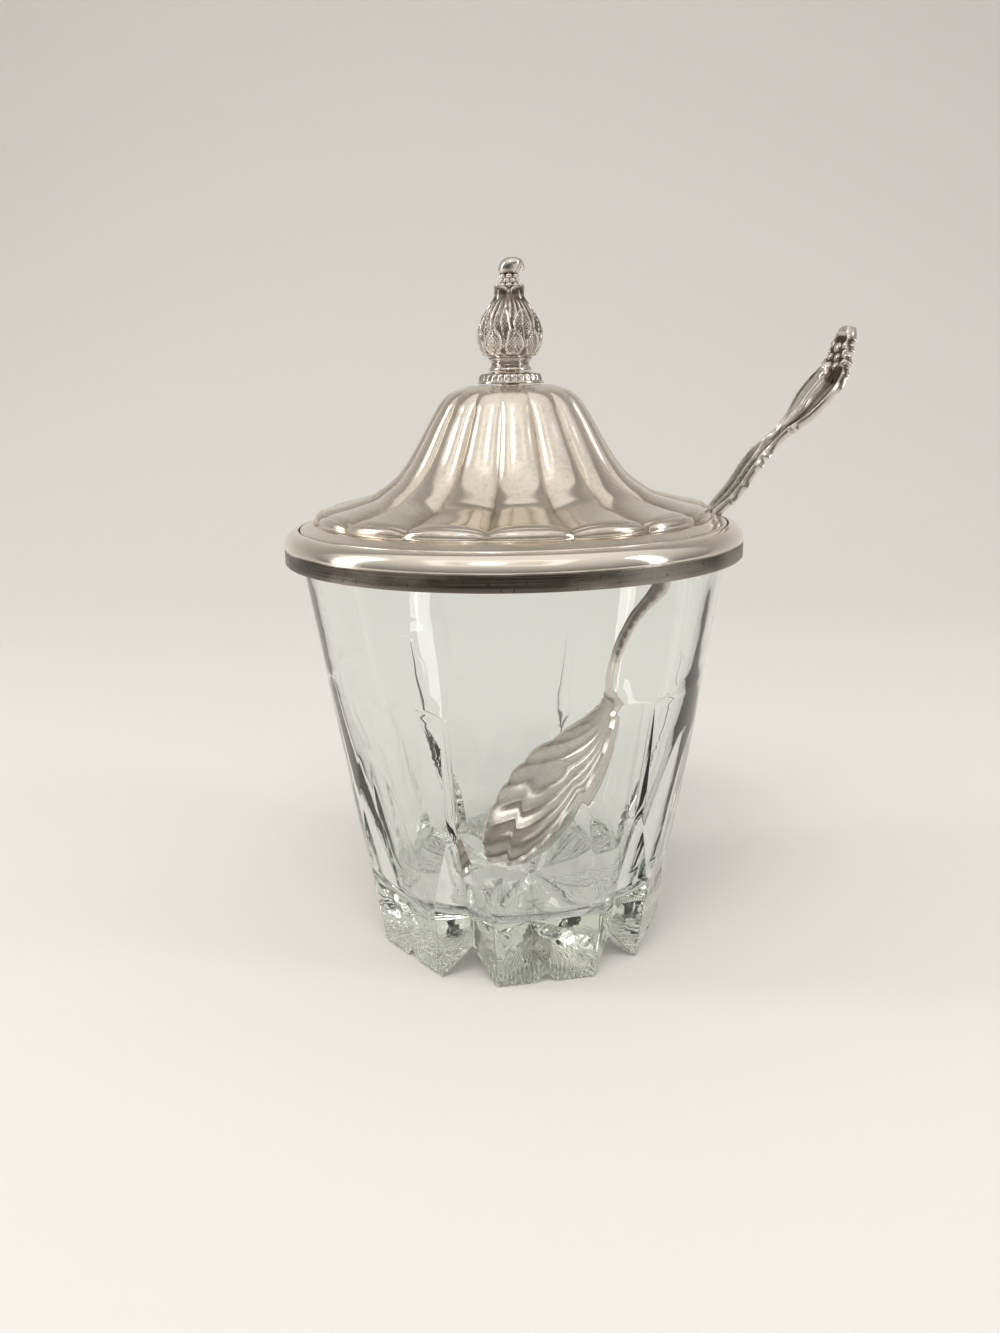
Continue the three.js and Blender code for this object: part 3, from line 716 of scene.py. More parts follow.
@dataclass(frozen=True)
class SoftLiner:
    """Pale soft liner, matt, with a faint grain and dust."""

    name: str
    clean: Colour = (0.72, 0.70, 0.64, 1)
    dusty: Colour = (0.56, 0.53, 0.47, 1)
    grain_depth: float = 0.00003

    def build(self) -> bpy.types.Material:
        """Makes the material.

        Returns:
            The material.
        """
        mix = Recipe(self.name)
        dust = mix.fit(mix.noise(350, 5), (0.4, 0.7), (0, 1))
        mix.shade({
            "Base Color": mix.mix(dust, self.clean, self.dusty),
            "Roughness": mix.fit(dust, (0, 1), (0.6, 0.8)),
        })
        mix.bump(mix.noise(1800, 3), self.grain_depth)
        return mix.material


@dataclass(frozen=True)
class StudioPaper:
    """Plain pale paper of the floor and backdrop, lit evenly where glass looks through to it."""

    name: str
    colour: Colour = (0.78, 0.77, 0.75, 1)
    even: float = 0.6
    glow: float = 0.85

    def build(self) -> bpy.types.Material:
        """Makes the material.

        Returns:
            The material.
        """
        mix = Recipe(self.name)
        mix.shade({"Base Color": self.colour, "Roughness": 0.7})
        ray = mix.node("ShaderNodeLightPath").outputs["Is Transmission Ray"]
        light = {"Color": self.colour, "Strength": self.glow}
        glow = mix.node("ShaderNodeEmission", inputs=light).outputs[0]
        shaders = {0: mix.times(ray, self.even), 1: mix.shader.outputs[0], 2: glow}
        both = mix.node("ShaderNodeMixShader", inputs=shaders)
        mix.feed(mix.output.inputs["Surface"], both.outputs[0])
        return mix.material


# Geometry Nodes that repeat a template round the axis


@dataclass
class RingOfCopies:
    """A Geometry Nodes tree that sets copies of a template round an axis, each facing outwards."""

    name: str
    tree: bpy.types.NodeTree | None = None
    sockets: dict[str, str] = field(default_factory=dict)

    def build(self) -> None:
        """Builds the tree with its named inputs."""
        self.tree = bpy.data.node_groups.new(self.name, "GeometryNodeTree")
        kinds = {
            "Template": "Geometry",
            "Count": "Int",
            "Radius": "Float",
            "Phase": "Float",
            "Centre": "Vector",
            "Finish": "Material",
        }
        face = self.tree.interface
        for label, kind in kinds.items():
            made = face.new_socket(label, in_out="INPUT", socket_type=f"NodeSocket{kind}")
            self.sockets[label] = made.identifier
        face.new_socket("Copies", in_out="OUTPUT", socket_type="NodeSocketGeometry")
        write = TreeWriter(self.tree)
        given = write.node("NodeGroupInput").outputs
        index = write.node("GeometryNodeInputIndex").outputs[0]
        share = write.maths(Maths.DIVIDE, index, given["Count"])
        angle = write.sum(write.times(share, 2 * math.pi), given["Phase"])
        right = write.times(write.maths(Maths.SINE, angle), given["Radius"])
        ahead = write.times(write.maths(Maths.COSINE, angle), given["Radius"])
        spot = write.node("ShaderNodeCombineXYZ", inputs={0: right, 1: write.times(ahead, -1.0)})
        place = write.node("ShaderNodeVectorMath", inputs={0: spot.outputs[0], 1: given["Centre"]})
        points = write.node(
            "GeometryNodePoints", inputs={"Count": given["Count"], "Position": place.outputs[0]}
        )
        turn = write.node("ShaderNodeCombineXYZ", inputs={2: angle})
        copies = write.node(
            "GeometryNodeInstanceOnPoints",
            inputs={
                "Points": points.outputs[0],
                "Instance": given["Template"],
                "Rotation": turn.outputs[0],
            },
        )
        real = write.node("GeometryNodeRealizeInstances", inputs={0: copies.outputs[0]})
        paint = write.node(
            "GeometryNodeSetMaterial", inputs={0: real.outputs[0], "Material": given["Finish"]}
        )
        write.node("NodeGroupOutput", inputs={0: paint.outputs[0]})

    def grow(
        self,
        name: str,
        template: MeshDraft,
        count: int,
        radius: float,
        height: float,
        phase: float,
        centre: Vector,
        finish: bpy.types.Material,
    ) -> bpy.types.Mesh:
        """Sets the copies and returns them as one plain mesh.

        Args:
            name: Name of the result.
            template: One copy, in millimetres, facing -Y.
            count: Number of copies.
            radius: Radius of their circle in millimetres.
            height: Height of their circle in millimetres.
            phase: Azimuth of the first copy in degrees.
            centre: Where the jar's axis stands, in metres.
            finish: Material of the copies.

        Returns:
            The mesh of all copies.
        """
        holder = template.finish(f"{name}_one", Vector((0, 0, 0)))
        modifier = holder.modifiers.new("copies", "NODES")
        modifier.node_group = self.tree
        values = {
            "Count": count,
            "Radius": radius * MM,
            "Phase": math.radians(phase),
            "Centre": (centre.x, centre.y, height * MM),
            "Finish": finish,
        }
        for label, value in values.items():
            modifier[self.sockets[label]] = value
        seen = holder.evaluated_get(bpy.context.evaluated_depsgraph_get())
        mesh = bpy.data.meshes.new_from_object(seen)
        holder.modifiers.clear()
        bpy.data.objects.remove(holder)
        return mesh


# Sub-assemblies


@dataclass
class GlassBody:
    """The jar: a flaring body with six panelled feet, grooves between and a cut star below."""

    foot_radius: float = 34.66
    flare: float = 0.147
    rim: float = 95.6
    rim_round: float = 0.9
    rim_wall: float = 3.0
    base_wall: float = 8.0
    blend_height: float = 58.0
    blend_power: float = 1.6
    floor: float = 14.0
    floor_corner: float = 6.0
    floor_dish: float = 0.25
    foot_round: float = 0.4
    feet: int = 6
    phase: float = 10.4
    panel_depth: float = 1.8
    panel_knee: float = 17.0
    panel_top: float = 54.2
    panel_power: float = 0.8
    groove_depth: float = 3.9
    groove_knee: float = 18.0
    groove_top: float = 42.5
    groove_blend: float = 0.4
    half_angle: float = 65.0
    lancet_top: float = 66.0
    lancet_start: float = 8.0
    lancet_half: float = 2.6
    lancet_depth: float = 0.75
    mitre_crown: float = 8.0
    mitre_half: float = 6.6
    ray_depth: float = 2.6
    ray_half: float = 2.3
    fine_rays: int = 13
    fine_depth: float = 0.75
    fine_start: Pair = (12, 18)
    inner_flute: float = 0.10
    edge: float = 0.1
    half_columns: int = 52
    dense: int = 840
    bend_limit: float = 0.2
    bend_window: int = 15
    bend_weight: float = 0.55
    star_reach: float = 24.0
    even_above: float = 22.0

    def body(self, z: np.ndarray) -> np.ndarray:
        """Radius of the round body at a height."""
        return self.foot_radius + self.flare * z

    def wall(self, z: np.ndarray) -> np.ndarray:
        """Thickness of the wall at a height."""
        left = np.clip(1 - (z - self.floor) / self.blend_height, 0, None)
        return self.rim_wall + (self.base_wall - self.rim_wall) * left**self.blend_power

    def outside(self, u: np.ndarray, z: np.ndarray) -> np.ndarray:
        """Radius of the cut outside.

        Args:
            u: Angle from the middle of a foot, in radians.
            z: Height.

        Returns:
            The radius there.
        """
        body = self.body(z)
        left = np.clip((self.panel_top - z) / (self.panel_top - self.panel_knee), 0, 1)
        beyond = np.clip(z - self.panel_top, 0, None)
        panel = (body - self.panel_depth * left**self.panel_power + beyond) / np.cos(u)
        psi = np.pi / self.feet - np.abs(u)
        bottom = self.foot_radius - self.groove_depth
        at_knee = bottom + self.flare * self.groove_knee
        rise = (self.body(self.groove_top) - at_knee) / (self.groove_top - self.groove_knee)
        upper = at_knee + rise * (z - self.groove_knee)
        valley = soft_max(bottom + self.flare * z, upper, self.groove_blend)
        lean = 1 / math.tan(math.radians(self.half_angle))
        across = np.sqrt(np.sin(psi) ** 2 + 0.004**2)
        groove = valley / (np.cos(psi) - lean * across)
        cut = soft_min(soft_min(body, panel, self.edge), groove, self.edge)
        tall = self.lancet_top - self.groove_top + self.lancet_start
        rising = np.clip((z - self.groove_top + self.lancet_start) / tall, 0, 1)
        wide = np.sqrt(1 - rising) * step_up(rising, 0, 0.25)
        half = np.radians(self.lancet_half) * wide + 1e-6
        hollow = np.clip(1 - (psi / half) ** 2, 0, 1) * (rising > 0)
        return cut - self.lancet_depth * (1 - rising) ** 0.6 * hollow

    def under(self, u: np.ndarray, rho: np.ndarray) -> np.ndarray:
        """Height of the cut underside.

        Args:
            u: Angle from the middle of a foot, in radians.
            rho: Distance from the axis.

        Returns:
            The height there.
        """
        sector = np.pi / self.feet
        height = np.zeros_like(u + rho)
        for line in (sector, -sector, 3 * sector):
            beside = np.sqrt((rho * np.sin(line - u)) ** 2 + 0.02)
            height = soft_max(height, self.mitre_crown * (1 - beside / self.mitre_half), 0.25)
        beside = np.sqrt((rho * np.sin(u)) ** 2 + 0.01)
        height = soft_max(height, self.ray_depth * (1 - beside / self.ray_half), 0.15)
        turn = np.abs(u) / sector * self.fine_rays
        teeth = self.fine_depth * (1 - 2 * np.abs(turn - np.floor(turn) - 0.5))
        return soft_max(height, teeth * step_up(rho, *self.fine_start), self.edge)

    def spread(self, curve: np.ndarray) -> np.ndarray:
        """Places of the columns on a densely sampled row, closer where it bends.

        Args:
            curve: Points of the row over a little more than half a sector.

        Returns:
            Fractional indices of the columns, from the foot's middle to the groove's.
        """
        step = np.diff(curve, axis=0)
        length = np.linalg.norm(step, axis=1)
        unit = step / np.maximum(length, 1e-9)[:, None]
        bend = np.arccos(np.clip((unit[1:] * unit[:-1]).sum(axis=1), -1, 1))
        shared = np.concatenate([[0], bend]) + np.concatenate([bend, [0]])
        even = np.ones(self.bend_window) / self.bend_window
        shared = np.convolve(np.minimum(shared, self.bend_limit), even, "same")
        margin = self.margin()
        density = length / length[margin:-margin].sum() + self.bend_weight * shared
        total = np.concatenate([[0], np.cumsum(density)])
        wanted = np.linspace(total[margin], total[-1 - margin], self.half_columns + 1)
        return np.interp(wanted, total, np.arange(len(curve)))

    def margin(self) -> int:
        """Samples beyond each end of the half sector."""
        return self.dense // 12

    def angles(self) -> np.ndarray:
        """Dense angles over half a sector and its margins.

        Returns:
            The angles, in radians.
        """
        margin = self.margin()
        step = np.pi / self.feet / self.dense
        return np.arange(-margin, self.dense + margin + 1) * step

    def row(self, radius: np.ndarray | float, height: np.ndarray | float) -> np.ndarray:
        """A whole closed row of points from dense values over half a sector.

        Args:
            radius: Dense radii, or one for the whole row.
            height: Dense heights, or one for the whole row.

        Returns:
            Points of the row right round the jar.
        """
        u, radius, height = np.broadcast_arrays(self.angles(), radius, height)
        at = self.spread(polar(radius, u, height))
        ticks = np.arange(len(u))
        half = np.array([np.interp(at, ticks, values) for values in (u, radius, height)])
        half[0, 0], half[0, -1] = 0.0, np.pi / self.feet
        mirror, shift = np.array([[-1], [1], [1]]), np.array([[2 * np.pi / self.feet], [0], [0]])
        sector = np.concatenate([half, half[:, -2:0:-1] * mirror + shift], axis=1)
        parts = []
        for i in range(self.feet):
            turned = sector[0] + math.radians(self.phase) + 2 * np.pi * i / self.feet
            parts.append(polar(sector[1], turned, sector[2]))
        return np.concatenate(parts)

    def underside(self, lowest: np.ndarray) -> list[np.ndarray]:
        """Rows of the cut underside, from its middle to the rounded standing edge.

        Args:
            lowest: Height at which the outside meets the underside.

        Returns:
            The rows.
        """
        u = self.angles()
        outer = self.outside(u, lowest) - self.foot_round
        near = np.concatenate([[0.0, 0.6, 1.5, 3, 5], np.linspace(7, self.star_reach, 14)])
        reaches = [rho + np.zeros_like(u) for rho in near]
        for share in np.linspace(0, 1, 9)[1:]:
            reaches.append(self.star_reach + (outer - self.star_reach) * share)
        rows = [self.row(rho, self.under(np.abs(u), rho)) for rho in reaches]
        for share in (0.3, 0.6, 1.0):
            turn = share * np.pi / 2
            z = lowest + self.foot_round * (1 - math.cos(turn))
            rows.append(self.row(self.outside(u, z) - self.foot_round * (1 - math.sin(turn)), z))
        return rows

    def side(self, lowest: np.ndarray) -> list[np.ndarray]:
        """Rows of the cut outside, up to the rim.

        Args:
            lowest: Height at which the outside meets the underside.

        Returns:
            The rows, which follow the underside's edge at first and are level higher up.
        """
        top = self.rim - self.rim_round
        levels = np.concatenate([
            np.arange(1.0, 36, 1.15),
            np.arange(36.0, 57, 0.75),
            np.arange(57.5, 66, 1.1),
            np.linspace(67, top, 12),
        ])
        rows = []
        for level in levels:
            z = level + 0 * lowest
            if level < self.even_above:
                z = lowest + level * (1 - lowest / self.even_above)
            rows.append(self.row(self.outside(self.angles(), z), z))
        return rows

    def mouth(self) -> list[np.ndarray]:
        """Rows over the rounded rim.

        Returns:
            The rows, from outside to inside.
        """
        top = self.rim - self.rim_round
        outer = self.body(top)
        inner = outer + self.flare * self.rim_round - self.rim_wall
        rows = []
        for start, way, angles in ((outer, -1, (30, 60, 90)), (inner, 1, (90, 60, 30, 0))):
            for turn in np.radians(angles):
                radius = start + way * self.rim_round * (1 - math.cos(turn))
                rows.append(self.row(radius, top + self.rim_round * math.sin(turn)))
        return rows

    def inside(self) -> list[np.ndarray]:
        """Rows of the inside, from the rim down.

        Returns:
            The rows, with the middle of the floor last.
        """
        u = self.angles()
        top, low = self.rim - self.rim_round, self.floor + self.floor_corner
        rows = []
        for z in np.linspace(top, low, 29)[1:]:
            here = float(step_up(np.array(z), 30, 60) * step_up(np.array(top - z), 0, 8))
            flute = self.inner_flute * np.cos(2 * u * self.feet) * here
            rows.append(self.row(self.body(z) - self.wall(z) - flute, z))
        corner = self.body(low) - self.wall(low) - self.floor_corner
        for turn in np.radians(np.linspace(0, -90, 9)[1:]):
            radius = corner + self.floor_corner * math.cos(turn)
            rows.append(self.row(radius, low + self.floor_corner * math.sin(turn)))
        for rho in (18, 12, 6, 2, 0):
            rows.append(self.row(rho, self.floor - self.floor_dish * (1 - (rho / corner) ** 2)))
        return rows

    def build(self, centre: Vector) -> bpy.types.Object:
        """Makes the glass as one closed mesh.

        Args:
            centre: Where the jar's axis stands, in metres.

        Returns:
            The glass.
        """
        u = self.angles()
        lowest = np.zeros_like(u)
        for _ in range(6):
            lowest = self.under(np.abs(u), self.outside(u, lowest))
        rows = self.underside(lowest) + self.side(lowest) + self.mouth() + self.inside()
        grid = np.array(rows)
        draft = MeshDraft()
        draft.add(grid, grid_quads(grid.shape[0], grid.shape[1], True))
        return draft.finish("cut_glass", centre, 30)


@dataclass
class Collar:
    """The plated collar: upright band, round shoulder, rebate and ledge."""

    radius: float = 52.0
    band_bottom: float = 92.7
    band_top: float = 96.2
    seam_radius: float = 48.7
    seam: float = 99.85
    sheet: float = 0.8
    lip: float = 46.1
    ledge_top: float = 96.7
    ledge_under: float = 95.9
    columns: int = 288

    def section(self) -> tuple[np.ndarray, np.ndarray]:
        """The ring's section.

        Returns:
            Its points, and how far each lies in a hollow or in painted shade.
        """
        side, low, top, sheet = self.radius, self.band_bottom, self.band_top, self.sheet
        seat, lip, ledge, under = self.seam_radius, self.lip, self.ledge_top, self.ledge_under
        inset, rise = side - seat, self.seam - top
        inner, lift = inset - sheet, rise - sheet
        start = math.degrees(math.acos(sheet / inner))
        points = np.array([
            (side - 0.15, low),
            (side, low + 0.15),
            *[(side, z) for z in np.linspace(low + 0.5, top - 0.12, 6)],
            (side - 0.02, top - 0.03),
            *arc((seat, top), (inset, rise), np.linspace(2, 88, 15)),
            (seat + 0.06, self.seam - 0.02),
            (seat, self.seam - 0.12),
            (seat, ledge + 1.2),
            (seat, ledge + 0.15),
            (seat - 0.15, ledge),
            (lip + 0.25, ledge),
            (lip + 0.04, ledge - 0.12),
            (lip, ledge - 0.4),
            (lip + 0.04, under + 0.12),
            (lip + 0.25, under),
            (seat + sheet, under),
            *arc((seat, top), (inner, lift), np.linspace(start, 0, 8)),
            (side - sheet, low + 0.2),
            (side - sheet + 0.2, low),
        ])
        hollow = np.where((points[:, 0] < seat + 0.01) & (points[:, 1] > under), 0.9, 0.0)
        # painted shade: a dark line along the band's top edge, under the shoulder
        hollow += 0.5 * bump_at(points[:, 1], top, 0.12) * (points[:, 0] > side - 0.1)
        return points, np.clip(hollow, 0, 1)

    def build(self, centre: Vector) -> bpy.types.Object:
        """Makes the collar as one closed mesh.

        Args:
            centre: Where the jar's axis stands, in metres.

        Returns:
            The collar.
        """
        section, hollow = self.section()
        points, quads = lathe(np.vstack([section, section[:1]]), self.columns)
        draft = MeshDraft()
        draft.add(points, quads, np.repeat(np.append(hollow, hollow[0]), self.columns))
        return draft.finish("silver_collar", centre, 40)


@dataclass
class LobedLid:
    """The lid's sheet: lobed dome and border, bead, plain edge and skirt, with the notch."""

    lobes: int = 16
    phase: float = -7.0
    seam: float = 99.85
    radius: float = 48.4
    border: float = 44.95
    sheet: float = 0.8
    crease: float = 1.35
    top: float = 30.3
    hole: float = 2.4
    skirt_bottom: float = 97.0
    notch_radius: float = 44.67
    notch_half: float = 4.2
    notch_azimuth: float = 94.25
    lobe_columns: int = 17
    lobe_power: float = 2.8
    dome_rows: int = 150
    edge_rows: int = 30
    first_notch_row: int = 140

    def profile(self) -> np.ndarray:
        """The lid's profile, from the stud hole to the skirt.

        Returns:
            Rows of radius, height and depth of the crease.
        """
        dome = [
            (self.hole, self.top, 0), (6.5, self.top, 0), (9.3, 30.28, 0), (10.6, 29.9, 0.02),
            (11.9, 29.5, 0.06), (13.9, 28.6, 0.22), (15.8, 26.8, 0.6), (17.1, 24.75, 0.86),
            (18.5, 22.5, 1.0), (21.0, 18.1, 1.15), (23.8, 13.7, 1.2), (26.6, 10.4, 1.25),
            (29.9, 8.0, 1.3), (31.9, 6.75, 1.33), (36.7, 5.3, self.crease), (40.0, 4.5, 1.34),
            (42.0, 4.12, 1.3), (42.9, 3.72, 1.27), (43.25, 3.5, 1.25), (43.75, 3.52, 1.22),
            (44.3, 3.26, 1.2), (44.75, 2.75, 1.2), (self.border, 2.1, 1.18), (44.92, 1.62, 1.1),
        ]
        edge = [
            (44.98, 1.42, 0.7), (45.2, 1.3, 0.12), (45.6, 1.18, 0), (46.4, 0.86, 0),
            (47.2, 0.56, 0), (47.9, 0.26, 0), (48.22, 0.08, 0), (48.36, -0.1, 0),
            (self.radius, -0.35, 0), (self.radius, -1.6, 0),
            (self.radius, self.skirt_bottom - self.seam, 0),
        ]
        whole = np.vstack([along(dome, self.dome_rows), along(edge, self.edge_rows)])
        whole[:, 1] += self.seam
        off = np.abs(whole[self.first_notch_row :, 0] - self.notch_radius)
        whole[self.first_notch_row + int(np.argmin(off)), 0] = self.notch_radius
        return whole

    @staticmethod
    def normals(rows: np.ndarray) -> np.ndarray:
        """Direction out of the sheet.

        Args:
            rows: The profile.

        Returns:
            Its share outwards and upwards at each row.
        """
        place = rows[:, :2]
        ahead = np.vstack([place[1:], 2 * place[-1:] - place[-2:-1]])
        behind = np.vstack([2 * place[:1] - place[1:2], place[:-1]])
        tangent = ahead - behind
        tangent /= np.linalg.norm(tangent, axis=1)[:, None]
        return np.stack([-tangent[:, 1], tangent[:, 0]], axis=1)

    def columns(self, rows: np.ndarray) -> tuple[np.ndarray, np.ndarray, slice]:
        """Spreads the columns over the lobes, with the notch's sides on columns of their own.

        Args:
            rows: The profile.

        Returns:
            Azimuth of every point, its share of the crease's depth, and the columns of the notch.
        """
        n, half = self.lobe_columns, 180 / self.lobes
        across = -np.cos(np.pi * np.arange(n) / n)
        middles = self.phase + half * (2 * np.arange(self.lobes) + 1)
        azimuth = np.radians(middles[:, None] + half * across[None, :]).reshape(1, -1)
        azimuth = np.repeat(azimuth, len(rows), axis=0)
        shares = np.abs(np.tile(across, self.lobes)[None, :]) ** self.lobe_power
        shares = np.repeat(shares, len(rows), axis=0)
        guide = self.notch_half / np.maximum(rows[:, 0], self.notch_radius)
        wanted = np.degrees(np.arcsin(guide)) / half
        low = int(np.argmin(np.abs(across + wanted.max())))
        high = n - low
        keys = np.array([-1, across[low], across[high], 1])
        start = n * round((self.notch_azimuth - self.phase - half) / (2 * half))
        for r, edge in enumerate(wanted):
            moved = np.interp(across, keys, [-1, -edge, edge, 1])
            azimuth[r, start : start + n] = np.radians(self.notch_azimuth + half * moved)
            shares[r, start : start + n] = np.abs(moved) ** self.lobe_power
        return azimuth, shares, slice(start + low, start + high)

    def build(self, centre: Vector) -> bpy.types.Object:
        """Makes the lid as one closed sheet.

        Args:
            centre: Where the jar's axis stands, in metres.

        Returns:
            The lid.
        """
        rows = self.profile()
        azimuth, shares, notch = self.columns(rows)
        out, up = np.hsplit(self.normals(rows), 2)
        depth = rows[:, 2:] * shares
        radius, height = rows[:, :1] - depth * out, rows[:, 1:2] - depth * up
        lowered = height - self.sheet * up
        skirt = rows[:, :1] > self.radius - 0.2
        front = polar(radius, azimuth, height)
        back = polar(
            np.minimum(radius - self.sheet * out, self.radius - self.sheet),
            azimuth,
            np.where(skirt, np.minimum(height, lowered), lowered),
        )
        keep = np.ones((len(rows) - 1, azimuth.shape[1]), bool)
        low_enough = np.arange(len(rows) - 1) >= self.first_notch_row
        keep[(rows[:-1, 0] >= self.notch_radius - 1e-6) & low_enough, notch] = False
        hollow = shares**3 * np.clip(rows[:, 2:] / self.crease, 0, 1) * 0.55
        # painted shade: dark lines at the foot of the border's roll and in the groove above it
        for weight, place, width in ((0.6, 45.1, 0.22), (0.35, 43.4, 0.25)):
            hollow += weight * bump_at(rows[:, :1], place, width)
        draft = MeshDraft()
        draft.add_sheet(front, back, True, keep, np.clip(hollow, 0, 1))
        return draft.finish("lobed_lid", centre, 50)


@dataclass
class Bezel:
    """The upright locating ring under the lid, with its soldered flange and the spoon's gap."""

    outside: float = 44.92
    sheet: float = 0.8
    bottom: float = 93.2
    middle: float = 96.0
    flange_out: float = 47.3
    flange_low: float = 99.12
    flange_high: float = 100.1
    gap_half: float = 4.35
    azimuth: float = 94.25
    columns: int = 260

    def build(self, centre: Vector) -> bpy.types.Object:
        """Makes the bezel as one closed ring with an opening.

        Args:
            centre: Where the jar's axis stands, in metres.

        Returns:
            The bezel.
        """
        side, inside = self.outside, self.outside - self.sheet
        below = self.flange_high - self.sheet
        looped = np.array([
            (inside, self.bottom + 0.15),
            (inside + 0.2, self.bottom),
            (side - 0.2, self.bottom),
            (side, self.bottom + 0.15),
            (side, self.middle),
            (side, below - 0.3),
            (side + 0.35, below - 0.15),
            (self.flange_out, self.flange_low - self.sheet),
            (self.flange_out, self.flange_low),
            (side, self.flange_high),
            (inside + 0.3, self.flange_high),
            (inside, self.flange_high - 0.3),
            (inside, self.middle),
            (inside, self.bottom + 0.15),
        ])
        rows, steps = len(looped), self.columns
        half = np.arcsin(self.gap_half / looped[:, :1])
        share = np.linspace(0, 1, steps)[None, :]
        azimuth = math.radians(self.azimuth) + half + share * (2 * np.pi - 2 * half)
        points = polar(looped[:, :1], azimuth, looped[:, 1:])
        faces = [tuple(q) for q in grid_quads(rows, steps, False)]
        faces.append(tuple(i * steps for i in range(rows - 1)))
        faces.append(tuple(i * steps + steps - 1 for i in range(rows - 2, -1, -1)))
        draft = MeshDraft()
        draft.add(points, faces)
        return draft.finish("lid_locating_ring", centre, 40)


@dataclass(frozen=True)
class Whorl:
    """A ring of leaves worked on the bud, with its heights over the bud's lowest point."""

    count: int
    phase: float
    low: float
    middle: float
    tip: float
    ground: float
    vein: float


@dataclass
class BudKnob:
    """The knob: stepped base, waisted neck, leafy bud, curled leaf tips, berries, hooked top."""

    bottom: float = 130.15
    bud_bottom: float = 133.25
    stud_radius: float = 2.3
    bore: float = 6.3
    gadroons: int = 26
    base_columns: int = 312
    leaves: int = 4
    petals: int = 9
    fine_ribs: int = 26
    whorls: tuple[Whorl, ...] = (
        Whorl(9, 7, 4.4, 8.8, 12.9, 0.08, 0.2),
        Whorl(9, -13, 2.9, 4.6, 8.6, 0.2, 0.1),
    )
    berry_rows: tuple[tuple[int, float, float, float], ...] = (
        (8, 1.72, 17.75, 0.72), (8, 1.66, 18.75, 0.7), (7, 1.6, 19.7, 0.66),
    )
    columns: int = 360
    ring: RingOfCopies = field(default_factory=lambda: RingOfCopies("ring_of_copies"))

    def base(self, centre: Vector) -> bpy.types.Object:
        """Makes the stepped base disc.

        Args:
            centre: Where the jar's axis stands, in metres.

        Returns:
            The disc.
        """
        low = self.bottom + 0.3
        rows = [
            (7.25, low), (7.46, low + 0.1), (7.44, low + 0.4), (7.22, low + 0.55),
            (7.12, low + 0.9), (7.02, low + 1.3), (6.9, low + 1.7), (6.7, low + 1.98),
            (6.3, low + 2.14), (5.9, low + 2.22), (5.5, low + 2.36), (5.1, low + 2.5),
        ]
        inner, upper = (self.stud_radius, low), (self.stud_radius, low + 2.5)
        section = np.vstack([inner, along(rows, 60), upper, inner])
        up = section[:, 1:] - low
        azimuth = round_steps(self.base_columns)
        body = between(up, (0.45, 0.75), (2.05, 2.3))
        lobe = np.abs(np.sin(azimuth * self.gadroons / 2 + 0.35 * np.sin(3 * azimuth)))
        chased = 0.08 * np.sin(azimuth * 31) * bump_at(up, 1.3, 0.4)
        wobble = body * (0.3 * (np.sqrt(lobe) - 1) + chased)
        points, quads = lathe(section, self.base_columns, wobble)
        hollow = np.clip(body * (1 - lobe) ** 2 * 0.9 + bump_at(up, 2.0, 0.08) * 0.6, 0, 1)
        draft = MeshDraft()
        draft.add(points, quads, hollow)
        return draft.finish("knob_base_disc", centre, 50)

    def relief(
        self, azimuth: np.ndarray, z: np.ndarray, radius: np.ndarray
    ) -> tuple[np.ndarray, np.ndarray]:
        """Relief of the bud.

        Args:
            azimuth: Azimuths in radians.
            z: Heights over the bud's lowest point.
            radius: Radius at each height.

        Returns:
            Added radius, and how deep in a hollow or in painted shade each point lies.
        """
        swing = azimuth + 0.05 * np.sin(0.8 * z + 2 * azimuth)
        ribs = np.abs(np.cos(self.fine_ribs / 2 * swing + 0.6 * np.sin(azimuth))) ** 3
        total = 0.34 * ribs * between(z, (5.5, 8.0), (13.6, 15.2))
        for leaf in self.whorls:
            sector = 2 * np.pi / leaf.count
            turned = (swing - math.radians(leaf.phase)) / sector
            across = np.abs(turned % 1.0 - 0.5) * sector * radius
            rise = np.clip((z - leaf.middle) / (leaf.tip - leaf.middle), 0, 1)
            fall = np.clip((leaf.middle - z) / (leaf.middle - leaf.low), 0, 1)
            half = 0.47 * sector * radius * np.sqrt(1 - rise**2) * (1 - 0.35 * fall)
            gap = half - across
            here = step_up(gap, -0.02, 0.2)
            here = here * between(z, (leaf.low, leaf.low + 0.4), (leaf.tip - 0.1, leaf.tip))
            pebbles = np.cos(2 * np.pi * across / 0.75) * np.cos(2 * np.pi * z / 0.95)
            blade = leaf.ground + 0.3 * bump_at(gap, 0.3, 0.2)
            blade = blade + leaf.vein * bump_at(across, 0, 0.2)
            blade = blade + 0.06 * pebbles * step_up(gap, 0.5, 0.9)
            total = total * (1 - here) + here * blade
        total = total + bump_at(z, 3.35, 0.3) * (0.16 + 0.1 * np.cos(2 * self.petals * azimuth))
        hollow = (1 - np.clip(total / 0.36, 0, 1)) * between(z, (2.8, 3.4), (16.2, 17.2))
        hollow = hollow + 0.7 * bump_at(z, 1.5, 0.5) + 0.8 * bump_at(z, 2.62, 0.2)
        # painted shade: the neck under the berries and the hooded top is darkened all round
        hollow = hollow + between(z, (16.6, 17.0), (20.2, 20.6))
        hood = step_up(z, 20.0, 20.8)
        face = bump_at((azimuth + np.pi) % (2 * np.pi) - np.pi, -0.1, 0.5)
        sunk = 0.75 * face * bump_at(z, 21.3, 0.75)
        total = total + hood * (0.16 * np.cos(4 * azimuth + 0.4) - sunk)
        hollow = hollow + hood * face * bump_at(z, 21.3, 0.8)
        return total, np.clip(hollow, 0, 1)

